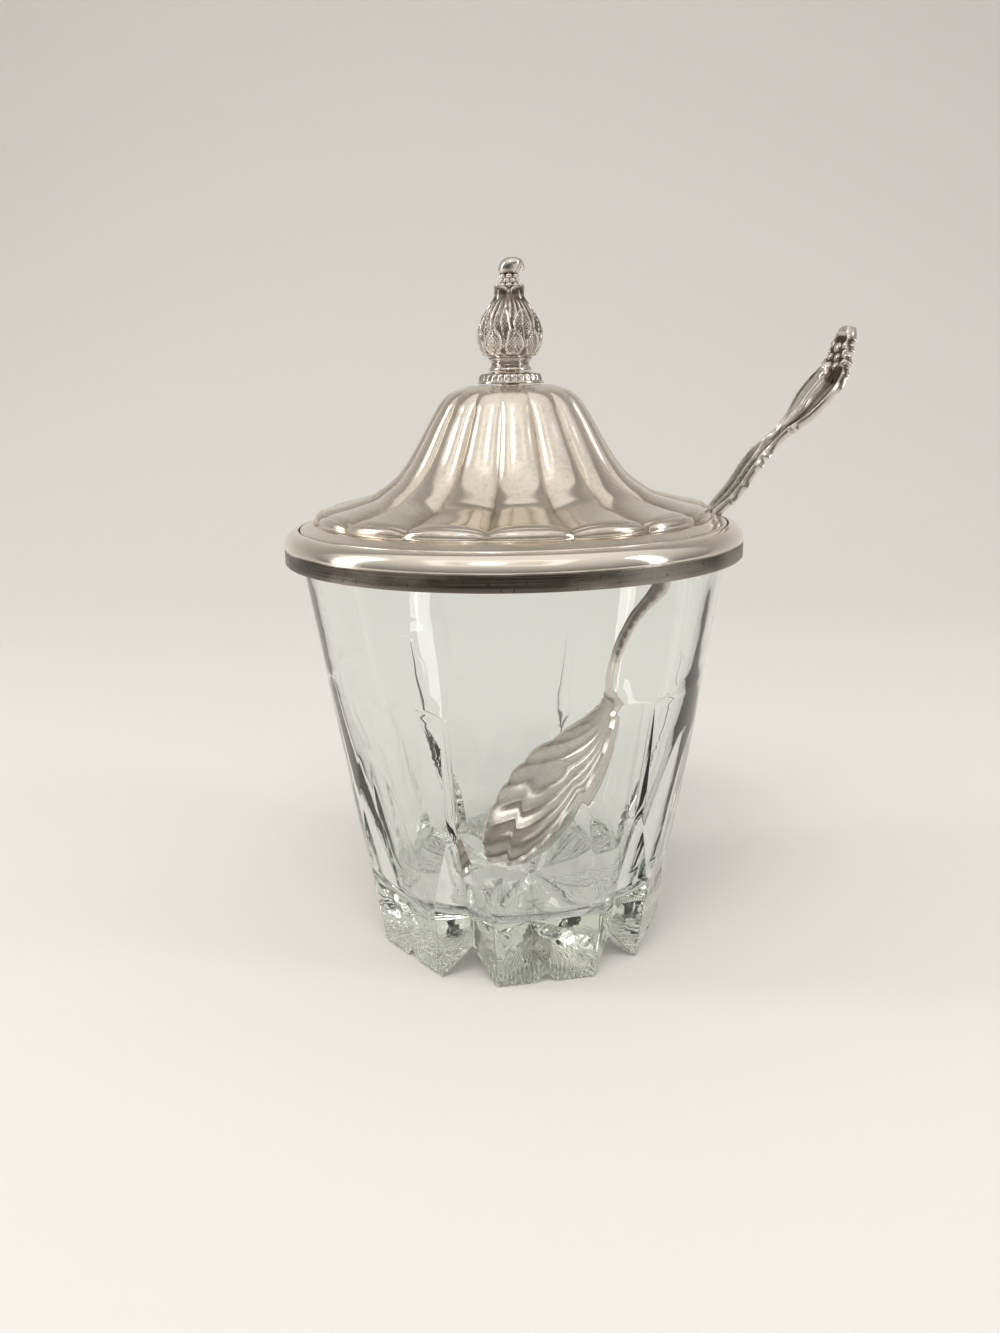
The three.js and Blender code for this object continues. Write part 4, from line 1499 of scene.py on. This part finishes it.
    def bud(self, centre: Vector) -> bpy.types.Object:
        """Makes the bud's body from its foot to the hooked top.

        Args:
            centre: Where the jar's axis stands, in metres.

        Returns:
            The body.
        """
        rows = [
            (4.7, 0.0), (4.86, 0.12), (4.8, 0.4), (4.5, 0.8), (4.2, 1.25), (4.15, 1.6),
            (4.4, 2.0), (4.75, 2.35), (4.8, 2.6), (5.1, 3.0), (5.75, 3.8), (6.25, 4.6),
            (6.6, 5.5), (6.82, 6.6), (6.87, 7.7), (6.75, 8.8), (6.35, 10.1), (5.6, 11.6),
            (4.65, 13.1), (3.85, 14.6), (3.35, 15.6), (3.05, 16.4), (2.7, 17.1), (2.0, 17.7),
            (1.7, 18.2), (1.55, 19.0), (1.6, 19.7), (1.95, 20.2), (2.35, 20.8), (2.55, 21.7),
            (2.5, 22.5), (2.1, 23.15), (1.35, 23.55), (0.5, 23.68), (0.0, 23.7),
        ]
        fine = along(rows, 230)
        radius, z = fine[:, :1], fine[:, 1:]
        extra, hollow = self.relief(round_steps(self.columns), z, radius)
        outer = np.maximum(radius + extra * (radius > 2.6), 0)
        points = polar(outer, round_steps(self.columns), z + self.bud_bottom)
        points[..., 0] += 0.75 * step_up(z, 20.5, 23.3)
        bore = [(0.0, self.bore), (self.stud_radius, self.bore), (self.stud_radius, 0.0)]
        inner, _ = lathe(np.array(bore) + np.array([0, self.bud_bottom]), self.columns)
        grid = np.concatenate([inner, points])
        marks = np.concatenate([np.zeros(inner.shape[:2]), hollow])
        draft = MeshDraft()
        draft.add(grid, grid_quads(grid.shape[0], self.columns, True), marks)
        return draft.finish("bud_body", centre, 60)

    def tips(self, centre: Vector, finish: bpy.types.Material) -> bpy.types.Object:
        """Makes the ring of curled leaf tips under the berries, and the hooked top's feather.

        Args:
            centre: Where the jar's axis stands, in metres.
            finish: Their material.

        Returns:
            The tips, joined in one object.
        """
        v = np.linspace(-1, 1, 11)[None, :]
        path = along([
            (1.5, -3.0, 0.4), (1.3, -2.2, 1.2), (1.05, -1.3, 1.7), (0.9, -0.4, 1.9),
            (0.85, 0.4, 2.0), (0.95, 1.05, 2.05), (1.2, 1.4, 1.9), (1.4, 1.05, 1.45),
            (1.35, 0.6, 0.8), (1.15, 0.35, 0.2),
        ], 34)
        out, up, half = np.hsplit(path, 3)
        front = grid_of(half * v * 0.95, -out + 0.6 * v**2, up - 0.5 * v**2)
        back = front + np.array([0, 0.5, -0.35])
        front[..., 1] -= 0.12 * bump_at(v, 0, 0.25)
        folded = np.linspace(0, 1, len(path))[:, None]
        # painted shade under each leaf's lip and on the turned-down end of its fold
        under = bump_at(up, -0.1, 1.0) * (folded < 0.6) + step_up(folded, 0.78, 0.9)
        leaf = MeshDraft()
        leaf.add_sheet(front, back, False, None, np.clip(under, 0, 1) + 0 * v)
        high = self.bud_bottom + 16.6
        crown = self.ring.grow("tips", leaf, self.leaves, 2.45, high, 45, centre, finish)
        path = along([
            (0, -1.6, 0.3), (0.15, -0.5, 0.6), (0.5, 0.55, 0.75), (1.05, 0.95, 0.7),
            (1.6, 0.6, 0.55), (1.9, -0.3, 0.4), (1.95, -1.2, 0.12),
        ], 24)
        out, up, half = np.hsplit(path, 3)
        front = grid_of(half * v, -out + 0.2 * v**2, up + 0 * v)
        back = front + np.array([0, 0.4, -0.1])
        hook = MeshDraft()
        hook.add_sheet(front, back, False, None, np.zeros(front.shape[:2]))
        high = self.bud_bottom + 22.1
        feather = self.ring.grow("hook", hook, 1, 1.5, high, 84, centre, finish)
        return joined("bud_leaf_tips", [crown, feather])

    def berries(self, centre: Vector, finish: bpy.types.Material) -> bpy.types.Object:
        """Makes the cluster of berries below the hooked top.

        Args:
            centre: Where the jar's axis stands, in metres.
            finish: Their material.

        Returns:
            The berries, joined in one object.
        """
        meshes = []
        for row, (count, radius, up, size) in enumerate(self.berry_rows):
            section = np.array(arc((0.0, 0.0), (size, size), np.linspace(-90, 90, 11)))
            berry = MeshDraft()
            berry.add(*lathe(section, 14))
            name, high = f"berries_{row}", self.bud_bottom + up
            meshes.append(
                self.ring.grow(name, berry, count, radius, high, 26 * row, centre, finish)
            )
        return joined("bud_berries", meshes)


@dataclass
class SpoonRows:
    """The spoon's rows from the handle's end to the bowl's tip, one value of each in a row."""

    spine: np.ndarray
    lift: np.ndarray
    half: np.ndarray
    thick: np.ndarray
    depth: np.ndarray
    below: np.ndarray
    share: np.ndarray
    bowl: np.ndarray

    @property
    def height(self) -> np.ndarray:
        """Height of each row."""
        return self.spine[:, 1:]

    @property
    def handle(self) -> np.ndarray:
        """1 for the handle's rows and 0 for the bowl's."""
        return 1 - self.bowl


@dataclass
class ShellSpoon:
    """The sugar spoon: ornamented handle, leaning shank and fluted shell bowl, in one sheet."""

    azimuth: float = 94.25
    ledge: float = 96.7
    lean: float = 0.651
    lip: float = 46.1
    clearance: float = 0.45
    thickness: float = 2.2
    neck_width: float = 4.5
    offset: float = 1.7
    shank_twist: float = 11.0
    head_twist: float = 4.0
    far_droop: float = 2.1
    ribs: float = 69.0
    thorns: tuple[Pair, ...] = (
        (119.4, 0.15), (113.4, 0.12), (111.2, 0.12), (106.6, 0.08), (103.6, 0.08),
    )
    blobs: tuple[Triple, ...] = (
        (132.0, 0.0, 1.25), (132.6, 2.5, 1.05), (133.4, 4.6, 0.95), (134.4, 1.4, 1.0),
        (135.3, 3.4, 0.9), (136.5, 0.0, 1.2), (137.0, 2.1, 0.85), (130.9, 1.2, 0.8),
        (129.9, 0.3, 0.8),
    )
    bowl_width: float = 28.0
    bowl_depth: float = 12.0
    rim_sag: float = 3.8
    rim_lift: float = 1.4
    bowl_twist: float = 14.0
    bowl_sheet: float = 1.2
    neck: Pair = (23.2, 57.0)
    tip: Pair = (-8.6, 15.9)
    columns: int = 96
    slot_columns: Pair = (0.70, 0.82)
    handle_rows: int = 240
    bowl_rows: int = 120
    shared_rows: int = 4

    def shank(self, height: float) -> float:
        """Distance of the straight part's middle line from the axis at a height."""
        reach = self.thickness / 2 * math.hypot(1, self.lean)
        return self.lip - self.clearance - reach + self.lean * (height - self.ledge)

    def way(self) -> np.ndarray:
        """The bowl's line from its neck to its tip."""
        return np.array(self.tip) - np.array(self.neck)

    def handle_keys(self) -> list[tuple[float, ...]]:
        """Rows of the handle from its end to the neck.

        Returns:
            Distance from the axis, height, half width and thickness of each.
        """
        t = self.thickness
        keys = [
            (76.9, 141.3, 1.4, 1.7), (76.4, 139.6, 2.4, 2.3), (75.5, 137.2, 3.3, 2.4),
            (74.4, 134.6, 4.6, 2.4), (72.9, 132.2, 6.6, t), (70.9, 129.6, 7.9, t),
            (68.3, 126.4, 8.0, t), (65.9, 123.0, 6.5, t), (62.6, 119.4, 4.4, 2.0),
            (59.8, 116.2, 3.3, 1.9),
            (self.shank(111.7) + self.offset, 111.7, 3.75, 2.1),
            (self.shank(105.7) + 0.88 * self.offset, 105.7, 3.6, t),
        ]
        for height, half in ((99.7, 3.1), (93.7, 3.1), (87.7, 2.7), (81.7, 2.25)):
            keys.append((self.shank(height), height, half, t))
        return keys + [
            (29.4, 75.6, 2.2, t), (25.2, 68, 2.2, 2.3), (23.6, 62, 2.35, 2.3),
            (23.3, 59, 2.5, 2.1),
        ]

    def rows(self) -> SpoonRows:
        """Rows of the handle and the bowl, run smoothly into each other.

        Returns:
            The rows.
        """
        handle = along(self.handle_keys(), self.handle_rows)
        plain = np.zeros(len(handle))
        share = (np.linspace(0, 1, self.bowl_rows) ** 0.9)[self.shared_rows :]
        way = self.way()
        facing = np.array([way[1], -way[0]]) / np.linalg.norm(way)
        back = self.bowl_depth * arch(share, 0.92, 0.7)
        rise = self.rim_sag * (self.rim_lift * share**2 - 1) * arch(share, 0.8, 0.6)
        widest = self.bowl_width / 2 - 0.4 - self.neck_width / 2
        half = np.concatenate([
            handle[:, 2], self.neck_width / 2 + widest * arch(share, 1.3, 0.68)
        ])
        keel = np.array(self.neck) + share[:, None] * way - facing * back[:, None]
        spine = np.vstack([handle[:, :2], keel])
        near = bump_at(np.arange(len(spine)), len(handle), 9) > 0.1
        spine = smoothed(spine, near, 3)
        sheet = np.interp(share, [0, 0.16, 0.4, 1], [2.1, 1.5, self.bowl_sheet, self.bowl_sheet])
        bowl = np.concatenate([plain, np.ones(len(share))])[:, None]
        tangent = np.gradient(spine, axis=0)
        tangent /= np.linalg.norm(tangent, axis=1)[:, None]
        normal = np.stack([tangent[:, 1], -tangent[:, 0]], axis=1)
        return SpoonRows(
            spine=spine,
            lift=normal * (1 - bowl) + facing[None, :] * bowl,
            half=smoothed(half, near, 3)[:, None],
            thick=np.concatenate([handle[:, 3], sheet])[:, None],
            depth=np.concatenate([plain, back + rise])[:, None],
            below=np.concatenate([plain, back])[:, None],
            share=np.concatenate([plain, share])[:, None],
            bowl=bowl,
        )

    def relief(self, height: np.ndarray, v: np.ndarray, half: np.ndarray) -> np.ndarray:
        """Ornament on the face of the handle.

        Args:
            height: Height of each row.
            v: Place across, -1 to 1.
            half: Half width of each row.

        Returns:
            Added height over the plain face.
        """
        across = np.abs(v) * half
        total = 0.34 * bump_at(across, half - 0.55, 0.42) * step_up(height, 66, 76)
        sunk = step_up(half - across, 0.7, 1.3) * between(height, (78, 88), (131, 133))
        total = total - 0.34 * sunk
        total += 0.5 * bump_at(across, 0, 0.62) * between(height, (84, 96), (116, 118))
        keys = [
            (110, 0.2), (116, 0.8), (120, 1.7), (124, 2.8), (127, 3.3), (130, 2.8), (133, 0.8),
            (136, 0.3),
        ]
        spear_half = np.maximum(eased(keys, height), 0.05)
        spear = 0.95 * np.clip(1 - (across / spear_half) ** 2, 0, 1)
        spear *= between(height, (113, 117), (131.5, 133.5))
        spear += 0.06 * np.cos(2 * np.pi * across / 0.95) * np.clip(spear / 0.3, 0, 1)
        wave = np.sin(2 * np.pi * (height - 100) / 2.6 + 2.2 * v)
        scroll = 0.30 * wave * bump_at(across, 1.45, 0.6) * between(height, (98, 101), (112, 114))
        total += spear + scroll
        for place, reach in ((113.6, 1.25), (119.7, 1.2)):
            node = bump_at(height, place, 1.0)
            total += 0.24 * node * (0.4 + 0.6 * np.abs(np.cos(np.pi * 2.5 * v)))
            beside = bump_at(height, place + 1.6 * reach, 0.8)
            total += 0.22 * beside * bump_at(across, 0.8, 0.7)
        for up, out, size in self.blobs:
            gap = np.sqrt((height - up) ** 2 + (across - out) ** 2) / size
            dome = np.clip(1 - gap**2, 0, 1) ** 0.7
            total += self.blooming(height) * 0.62 * dome * size
        curl = 0.9 * step_up(height, 138.2, 139.6) * bump_at(height, 140.2, 1.0)
        return total + curl * np.clip(1 - (across / np.maximum(half, 0.3)) ** 2, 0, 1)

    @staticmethod
    def blooming(height: np.ndarray) -> np.ndarray:
        """Where the handle's end carries its cluster of blobs."""
        return between(height, (129.2, 130.4), (138.6, 139.4))

    def slot(self, height: np.ndarray) -> tuple[np.ndarray, np.ndarray]:
        """Edges of the slender openings in the handle.

        Args:
            height: Height of each row.

        Returns:
            The inner and the outer edge, equal where there is no opening.
        """
        inside = [
            (116, 1.9), (119, 2.2), (121, 2.7), (124, 3.5), (127, 4.2), (129.4, 4.6), (131, 4.5),
            (134, 4.0),
        ]
        width = [
            (116, 0), (119.4, 0.0), (120.8, 0.7), (123.5, 1.3), (126.5, 1.5), (129.2, 1.2),
            (130.8, 0.0), (134, 0),
        ]
        return eased(inside, height), eased(inside, height) + eased(width, height)

    def across(self, rows: SpoonRows) -> tuple[np.ndarray, np.ndarray]:
        """Spreads the columns, with the openings' edges on columns of their own.

        Args:
            rows: The spoon's rows.

        Returns:
            Place across of every point, -1 to 1, and which faces exist.
        """
        n, height, half = self.columns, rows.height.ravel(), rows.half.ravel()
        side = np.sin(np.linspace(-1, 1, n + 1) * np.pi / 2 * 0.94) / math.sin(np.pi / 2 * 0.94)
        v = np.repeat(side[None, :], len(height), axis=0)
        inner, outer = self.slot(height)
        first, last = (int(n * share) for share in self.slot_columns)
        blends = step_up(height, 112.5, 118.5) * rows.handle.ravel()
        for r in np.flatnonzero(blends > 0):
            a, b = inner[r] / half[r], max(outer[r], inner[r] + 0.02) / half[r]
            a = side[first] + (a - side[first]) * blends[r]
            b = side[last] + (b - side[last]) * blends[r]
            wanted = [0, min(a, 0.96), min(max(b, a + 0.002), 0.98), 1]
            keys = [0, side[first], side[last], 1]
            v[r] = np.sign(side) * np.interp(np.abs(side), keys, wanted)
        opened = (outer - inner > 0.02) & (rows.handle.ravel() > 0) & (height > 115)
        middle = np.abs(np.arange(n) + 0.5 - n / 2)
        gap = (first - n / 2 < middle) & (middle < last - n / 2)
        return v, ~((opened[:-1] & opened[1:])[:, None] & gap[None, :])

    def build(self, centre: Vector) -> bpy.types.Object:
        """Makes the spoon as one closed mesh.

        Args:
            centre: Where the jar's axis stands, in metres.

        Returns:
            The spoon.
        """
        rows = self.rows()
        v, keep = self.across(rows)
        face = self.relief(rows.height, v, rows.half) * rows.handle
        rounding = 1 - np.clip((np.abs(v) - 0.72) / 0.28, 0, 1) ** 2 * 0.42
        thinned = 1 - 0.55 * np.clip((np.abs(v) - 0.5) / 0.5, 0, 1) ** 2
        dish = rows.depth * (1 - np.clip(1 - v**2, 0, 1) ** 0.75)
        crest, reach = self.fan(rows, v)
        flute = (crest - 0.68) * 0.75 * step_up(reach, 6, 26)
        flute *= (1 - step_up(rows.share, 0.88, 1.0)) * rows.bowl
        droop = self.droop(rows, v)
        side = self.outline(rows, v, crest) * (1 - 0.12 * droop)
        fallen = self.far_droop * droop
        proud = (rows.thick / 2) * rounding * rows.handle + face + dish + flute - fallen
        surface = self.placed(rows, proud, side)
        turned = np.cross(np.gradient(surface, axis=1), np.gradient(surface, axis=0))
        turned /= np.maximum(np.linalg.norm(turned, axis=2), 1e-9)[:, :, None]
        out, up = np.hsplit(rows.lift, 2)
        facing = turned[:, :, 0] * out + turned[:, :, 2] * up
        turned *= np.sign(facing[:, self.columns // 2].sum())
        slab = self.placed(rows, -(rows.thick / 2) * thinned - fallen, side)
        shell = surface - turned * rows.thick[:, :, None]
        behind = slab * rows.handle[:, :, None] + shell * rows.bowl[:, :, None]
        hollow = self.hollows_and_shade(rows, v, face)
        draft = MeshDraft()
        draft.add_sheet(self.turned(surface), self.turned(behind), False, keep, hollow)
        return draft.finish("shell_spoon", centre, 50)

    def fan(self, rows: SpoonRows, v: np.ndarray) -> tuple[np.ndarray, np.ndarray]:
        """Fan of ribs that spreads over the bowl from its neck.

        Args:
            rows: The spoon's rows.
            v: Place across, -1 to 1.

        Returns:
            Height of the ribs' crests, up to about 1, and the distance from the neck.
        """
        ahead = rows.share * np.linalg.norm(self.way())
        fan = self.ribs * np.arctan2(v * rows.half, ahead + 1.0)
        return np.sqrt(np.cos(fan / 2) ** 2 + 0.05), np.hypot(v * rows.half, ahead)

    @staticmethod
    def droop(rows: SpoonRows, v: np.ndarray) -> np.ndarray:
        """How far the handle's far side droops at each point, up to 1."""
        return between(rows.height, (115, 120), (133, 138)) * np.clip(v, 0, 1) ** 2

    @staticmethod
    def notches(rows: SpoonRows) -> tuple[np.ndarray, np.ndarray]:
        """Length of the shank with notched edges.

        Args:
            rows: The spoon's rows.

        Returns:
            1 where the shank is notched, and the depth of its nicks, up to 1.
        """
        notched = between(rows.height, (64, 70), (92, 96)) * rows.handle
        return notched, notched * np.abs(np.sin(np.pi * rows.height / 2.1)) ** 3

    def outline(self, rows: SpoonRows, v: np.ndarray, crest: np.ndarray) -> np.ndarray:
        """Distance to the side, with the outline's thorns, nicks and scallops.

        Args:
            rows: The spoon's rows.
            v: Place across, -1 to 1.
            crest: Crests of the bowl's ribs.

        Returns:
            The distance of every point.
        """
        height, edge = rows.height, np.clip(np.abs(v), 0, 1) ** 8
        spikes = sum(
            size * between(height, (up - 0.3, up), (up, up + 1.5)) for up, size in self.thorns
        )
        _, nicks = self.notches(rows)
        scallops = np.sin(2 * np.pi * (height - 131.2) / 2.3)
        scallops = scallops * between(height, (131.5, 132.5), (139, 140))
        side = v * rows.half * (1 + 0.05 * (crest - 0.95) * rows.bowl * edge)
        side *= 1 + spikes * edge * rows.handle - 0.16 * nicks * edge
        return side * (1 + 0.10 * scallops * edge)

    def hollows_and_shade(self, rows: SpoonRows, v: np.ndarray, face: np.ndarray) -> np.ndarray:
        """Where tarnish stays on the spoon, and painted dark reflection along the notched shank.

        Args:
            rows: The spoon's rows.
            v: Place across, -1 to 1.
            face: Height of the handle's ornament.

        Returns:
            How far each point lies in a hollow or in painted dark reflection.
        """
        crest, reach = self.fan(rows, v)
        notched, nicks = self.notches(rows)
        hollow = np.clip(0.5 - face * 1.2, 0, 0.75) * step_up(rows.height, 98, 103) * rows.handle
        # painted dark reflection: the whole notched shank is darkened; the nicks' own term is
        # tarnish
        hollow += nicks * np.abs(v) ** 2 * 0.9 + 0.8 * notched
        hollow += 0.9 * self.blooming(rows.height) * np.clip(1 - face / 0.5, 0, 1)
        fluted = np.clip(1 - crest, 0, 1) ** 2 * 0.7 * step_up(reach, 5, 20)
        return hollow + (0.16 + fluted) * rows.bowl

    def twist(self, height: np.ndarray) -> np.ndarray:
        """Turn of the spoon about its own length.

        Args:
            height: Height of each row.

        Returns:
            The turn there, in radians.
        """
        neck, ledge = self.neck[1], self.ledge
        bowl = self.bowl_twist * (1 - step_up(height, neck + 3, neck + 17))
        low = self.shank_twist * step_up(height, ledge + 2.8, ledge + 7.3)
        head = self.head_twist * step_up(height, ledge + 18.3, ledge + 27.3)
        return np.radians(bowl + low + head)

    def placed(self, rows: SpoonRows, proud: np.ndarray, side: np.ndarray) -> np.ndarray:
        """Points of the spoon in its own plane, each row turned about the spoon's length.

        Args:
            rows: The spoon's rows.
            proud: Height of the points over the spine.
            side: Their distance to its side.

        Returns:
            Distance, side and height of the points.
        """
        turn, over = self.twist(rows.height), proud - rows.below
        face = over * np.cos(turn) + side * np.sin(turn) + rows.below
        across = side * np.cos(turn) - over * np.sin(turn)
        out, up = (rows.spine[:, i : i + 1] + rows.lift[:, i : i + 1] * face for i in (0, 1))
        return np.stack([out, across, up], axis=-1)

    def turned(self, flat: np.ndarray) -> np.ndarray:
        """Turns points of the spoon's plane to its azimuth.

        Args:
            flat: Distance, side and height of the points.

        Returns:
            The points.
        """
        sine, cosine = math.sin(math.radians(self.azimuth)), math.cos(math.radians(self.azimuth))
        out, side, up = flat[..., 0], flat[..., 1], flat[..., 2]
        return np.stack([out * sine + side * cosine, -out * cosine + side * sine, up], axis=-1)


# Studio


@dataclass(frozen=True)
class Lamp:
    """A soft rectangular lamp, in metres and watts."""

    name: str
    place: Triple
    size: Pair
    power: float
    colour: Triple
    in_gloss: bool = True

    def build(self, aim: Vector) -> None:
        """Sets up the lamp.

        Args:
            aim: What it points at.
        """
        data = bpy.data.lights.new(self.name, "AREA")
        data.shape = "RECTANGLE"
        data.size, data.size_y = self.size
        data.energy = self.power
        data.color = self.colour
        made = linked(self.name, data)
        spot = Vector(self.place)
        turn = (aim - spot).to_track_quat("-Z", "Y").to_matrix().to_4x4()
        made.matrix_world = Matrix.Translation(spot) @ turn
        made.visible_glossy = self.in_gloss


@dataclass
class Studio:
    """Floor with swept backdrop, lamps, world and camera."""

    focal: float = 28.22
    sensor: float = 36
    eye: Triple = (0.0, -241.69, 128.74)
    pitch: float = 0.257
    yaw: float = -0.015
    roll: float = 0.020
    aim_height: float = 0.09
    lamps: tuple[Lamp, ...] = (
        Lamp("window fill", (-0.12, -0.62, 0.92), (0.75, 0.42), 4.6, (1, 0.96, 0.91), False),
        Lamp("window", (-0.12, -0.62, 0.92), (1.1, 0.62), 0.9, (1, 0.96, 0.91)),
        Lamp("window pane", (-0.2, -0.66, 0.98), (0.16, 0.22), 0.6, (1, 0.97, 0.93)),
        Lamp("left strip", (-0.85, -0.05, 0.4), (0.16, 0.8), 2.3, (1, 0.97, 0.93)),
        Lamp("right strip", (0.8, -0.3, 0.42), (0.12, 0.7), 1.5, (0.95, 0.97, 1)),
    )
    floor_front: float = -2.2
    half_width: float = 3.0
    backdrop_top: float = 3.0
    sweep_start: float = 0.4
    sweep_radius: float = 0.7
    sky: Colour = (1.0, 0.96, 0.9, 1)
    sky_strength: Pair = (0.1, 0.92)
    backdrop: Colour = (0.78, 0.77, 0.75, 1)
    backdrop_strength: float = 0.9

    def camera(self, centre: Vector) -> None:
        """Sets the camera at the photograph's place.

        Args:
            centre: Where the jar's axis stands, in metres.
        """
        yaw, level = self.yaw, math.cos(self.pitch)
        forward = Vector((math.sin(yaw) * level, math.cos(yaw) * level, -math.sin(self.pitch)))
        right = Vector((math.cos(yaw), -math.sin(yaw), 0))
        down = forward.cross(right)
        across = right * math.cos(self.roll) + down * math.sin(self.roll)
        below = down * math.cos(self.roll) - right * math.sin(self.roll)
        data = bpy.data.cameras.new("camera")
        data.lens = self.focal
        data.sensor_width = self.sensor
        data.sensor_fit = "AUTO"
        data.clip_start = 0.01
        made = linked("camera", data)
        turn = Matrix((across, -below, -forward)).transposed()
        made.matrix_world = Matrix.Translation(centre + Vector(self.eye) * MM) @ turn.to_4x4()
        bpy.context.scene.camera = made

    def floor(self) -> bpy.types.Object:
        """Makes the floor that sweeps up into a backdrop.

        Returns:
            The floor.
        """
        start, radius = self.sweep_start, self.sweep_radius
        path = [(self.floor_front, 0.0), (start, 0.0)]
        for turn in np.linspace(0, np.pi / 2, 24)[1:]:
            path.append((start + radius * math.sin(turn), radius - radius * math.cos(turn)))
        path.append((start + radius, self.backdrop_top))
        points = [(x, y, z) for y, z in path for x in (-self.half_width, self.half_width)]
        faces = [(2 * i, 2 * i + 1, 2 * i + 3, 2 * i + 2) for i in range(len(path) - 1)]
        mesh = bpy.data.meshes.new("studio_paper")
        mesh.from_pydata(points, [], faces)
        mesh.shade_smooth()
        mesh.materials.append(StudioPaper("studio_paper").build())
        return linked("studio_paper", mesh)

    def world(self) -> None:
        """Sets a plain soft surround, brighter above than below, and pale where it is seen."""
        world = bpy.data.worlds.new("studio")
        bpy.context.scene.world = world
        world.use_nodes = True
        write = TreeWriter(world.node_tree)
        write.nodes.clear()
        place = write.node("ShaderNodeTexCoord").outputs["Generated"]
        up = write.node("ShaderNodeSeparateXYZ", inputs={0: place}).outputs["Z"]
        light = {"Color": self.sky, "Strength": write.fit(up, (-0.1, 0.9), self.sky_strength)}
        sky = write.node("ShaderNodeBackground", inputs=light).outputs[0]
        light = {"Color": self.backdrop, "Strength": self.backdrop_strength}
        pale = write.node("ShaderNodeBackground", inputs=light).outputs[0]
        ray = write.node("ShaderNodeLightPath").outputs
        seen = write.maths(Maths.MAXIMUM, ray["Is Camera Ray"], ray["Is Transmission Ray"])
        both = write.node("ShaderNodeMixShader", inputs={0: seen, 1: sky, 2: pale})
        write.node("ShaderNodeOutputWorld", inputs={0: both.outputs[0]})

    def build(self, centre: Vector) -> None:
        """Builds the whole studio round the jar.

        Args:
            centre: Where the jar's axis stands, in metres.
        """
        self.floor()
        aim = centre + Vector((0, 0, self.aim_height))
        for lamp in self.lamps:
            lamp.build(aim)
        self.camera(centre)
        self.world()
        bpy.context.scene.view_settings.view_transform = "Standard"


@dataclass
class SugarJar:
    """The whole object."""

    glass: GlassBody = field(default_factory=GlassBody)
    collar: Collar = field(default_factory=Collar)
    lid: LobedLid = field(default_factory=LobedLid)
    bezel: Bezel = field(default_factory=Bezel)
    knob: BudKnob = field(default_factory=BudKnob)
    spoon: ShellSpoon = field(default_factory=ShellSpoon)

    def dress(
        self,
        piece: bpy.types.Object,
        finish: bpy.types.Material,
        body: str,
        node: str | None,
    ) -> None:
        """Gives a piece its finish, its body and the node that it stands for.

        Args:
            piece: The piece.
            finish: Its material.
            body: The body that it moves with.
            node: The CAD node that it replaces, if any.
        """
        piece.data.materials.clear()
        piece.data.materials.append(finish)
        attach(piece, body)
        if node:
            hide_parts(node)
        LOG.info("%s: %d faces on %s", piece.name, len(piece.data.polygons), body)

    def build(self, frame: dict, centre: Vector) -> None:
        """Builds and dresses every piece.

        Args:
            centre: Where the jar's axis stands, in metres.
        """
        top, bottom = self.collar.band_top * MM, self.collar.band_bottom * MM
        silver = SilverPlate("silver_plate", sheen=(0.12, 0.27), mottled=0.24).build()
        chased = SilverPlate(
            "chased_silver",
            bright=(0.76, 0.72, 0.66, 1),
            tarnish_and_shade=(0.11, 0.085, 0.065, 1),
            sheen=(0.1, 0.2),
            waviness=0.00002,
            rubbed_below=0.062,
        ).build()
        band = BandedSilver("banded_silver", top, bottom).build()
        glass = JarGlass("jar_glass", (centre.x, centre.y)).build()
        brass = TurnedBrass("turned_brass").build()
        liner = SoftLiner("soft_liner").build()
        knob = self.knob
        knob.ring.build()
        self.dress(self.glass.build(centre), glass, "jar", "glass_jar")
        self.dress(self.collar.build(centre), band, "jar", "collar_ring")
        self.dress(self.lid.build(centre), silver, "lid", "lid_shell")
        self.dress(self.bezel.build(centre), silver, "lid", "lid_bezel")
        self.dress(knob.base(centre), chased, "lid", "knob_base")
        self.dress(knob.bud(centre), chased, "lid", "bud_knob")
        self.dress(knob.tips(centre, chased), chased, "lid", None)
        self.dress(knob.berries(centre, chased), chased, "lid", None)
        self.dress(self.spoon.build(centre), chased, "spoon", "sugar_spoon")
        kept = {"knob_stud": brass, "stud_washer": brass, "stud_nut": brass, "collar_liner": liner}
        for name, finish in kept.items():
            node = frame["nodes"][name]
            if not node.material_slots:
                node.data.materials.append(finish)
            for place in node.material_slots:
                place.material = finish
            LOG.info("%s: CAD node kept", name)


def plain(box: tuple) -> list[list[float]]:
    """A box as plain lists of numbers."""
    return [[float(value) for value in corner] for corner in box]


def main() -> None:
    """Loads the frame and builds the jar and its studio."""
    logging.basicConfig(level=logging.INFO, format="%(name)s: %(message)s")
    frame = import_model()
    low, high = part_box("glass_jar")
    centre = Vector(((low[0] + high[0]) / 2, (low[1] + high[1]) / 2, 0))
    SugarJar().build(frame, centre)
    Studio().build(centre)


if __name__ == "__main__":
    main()
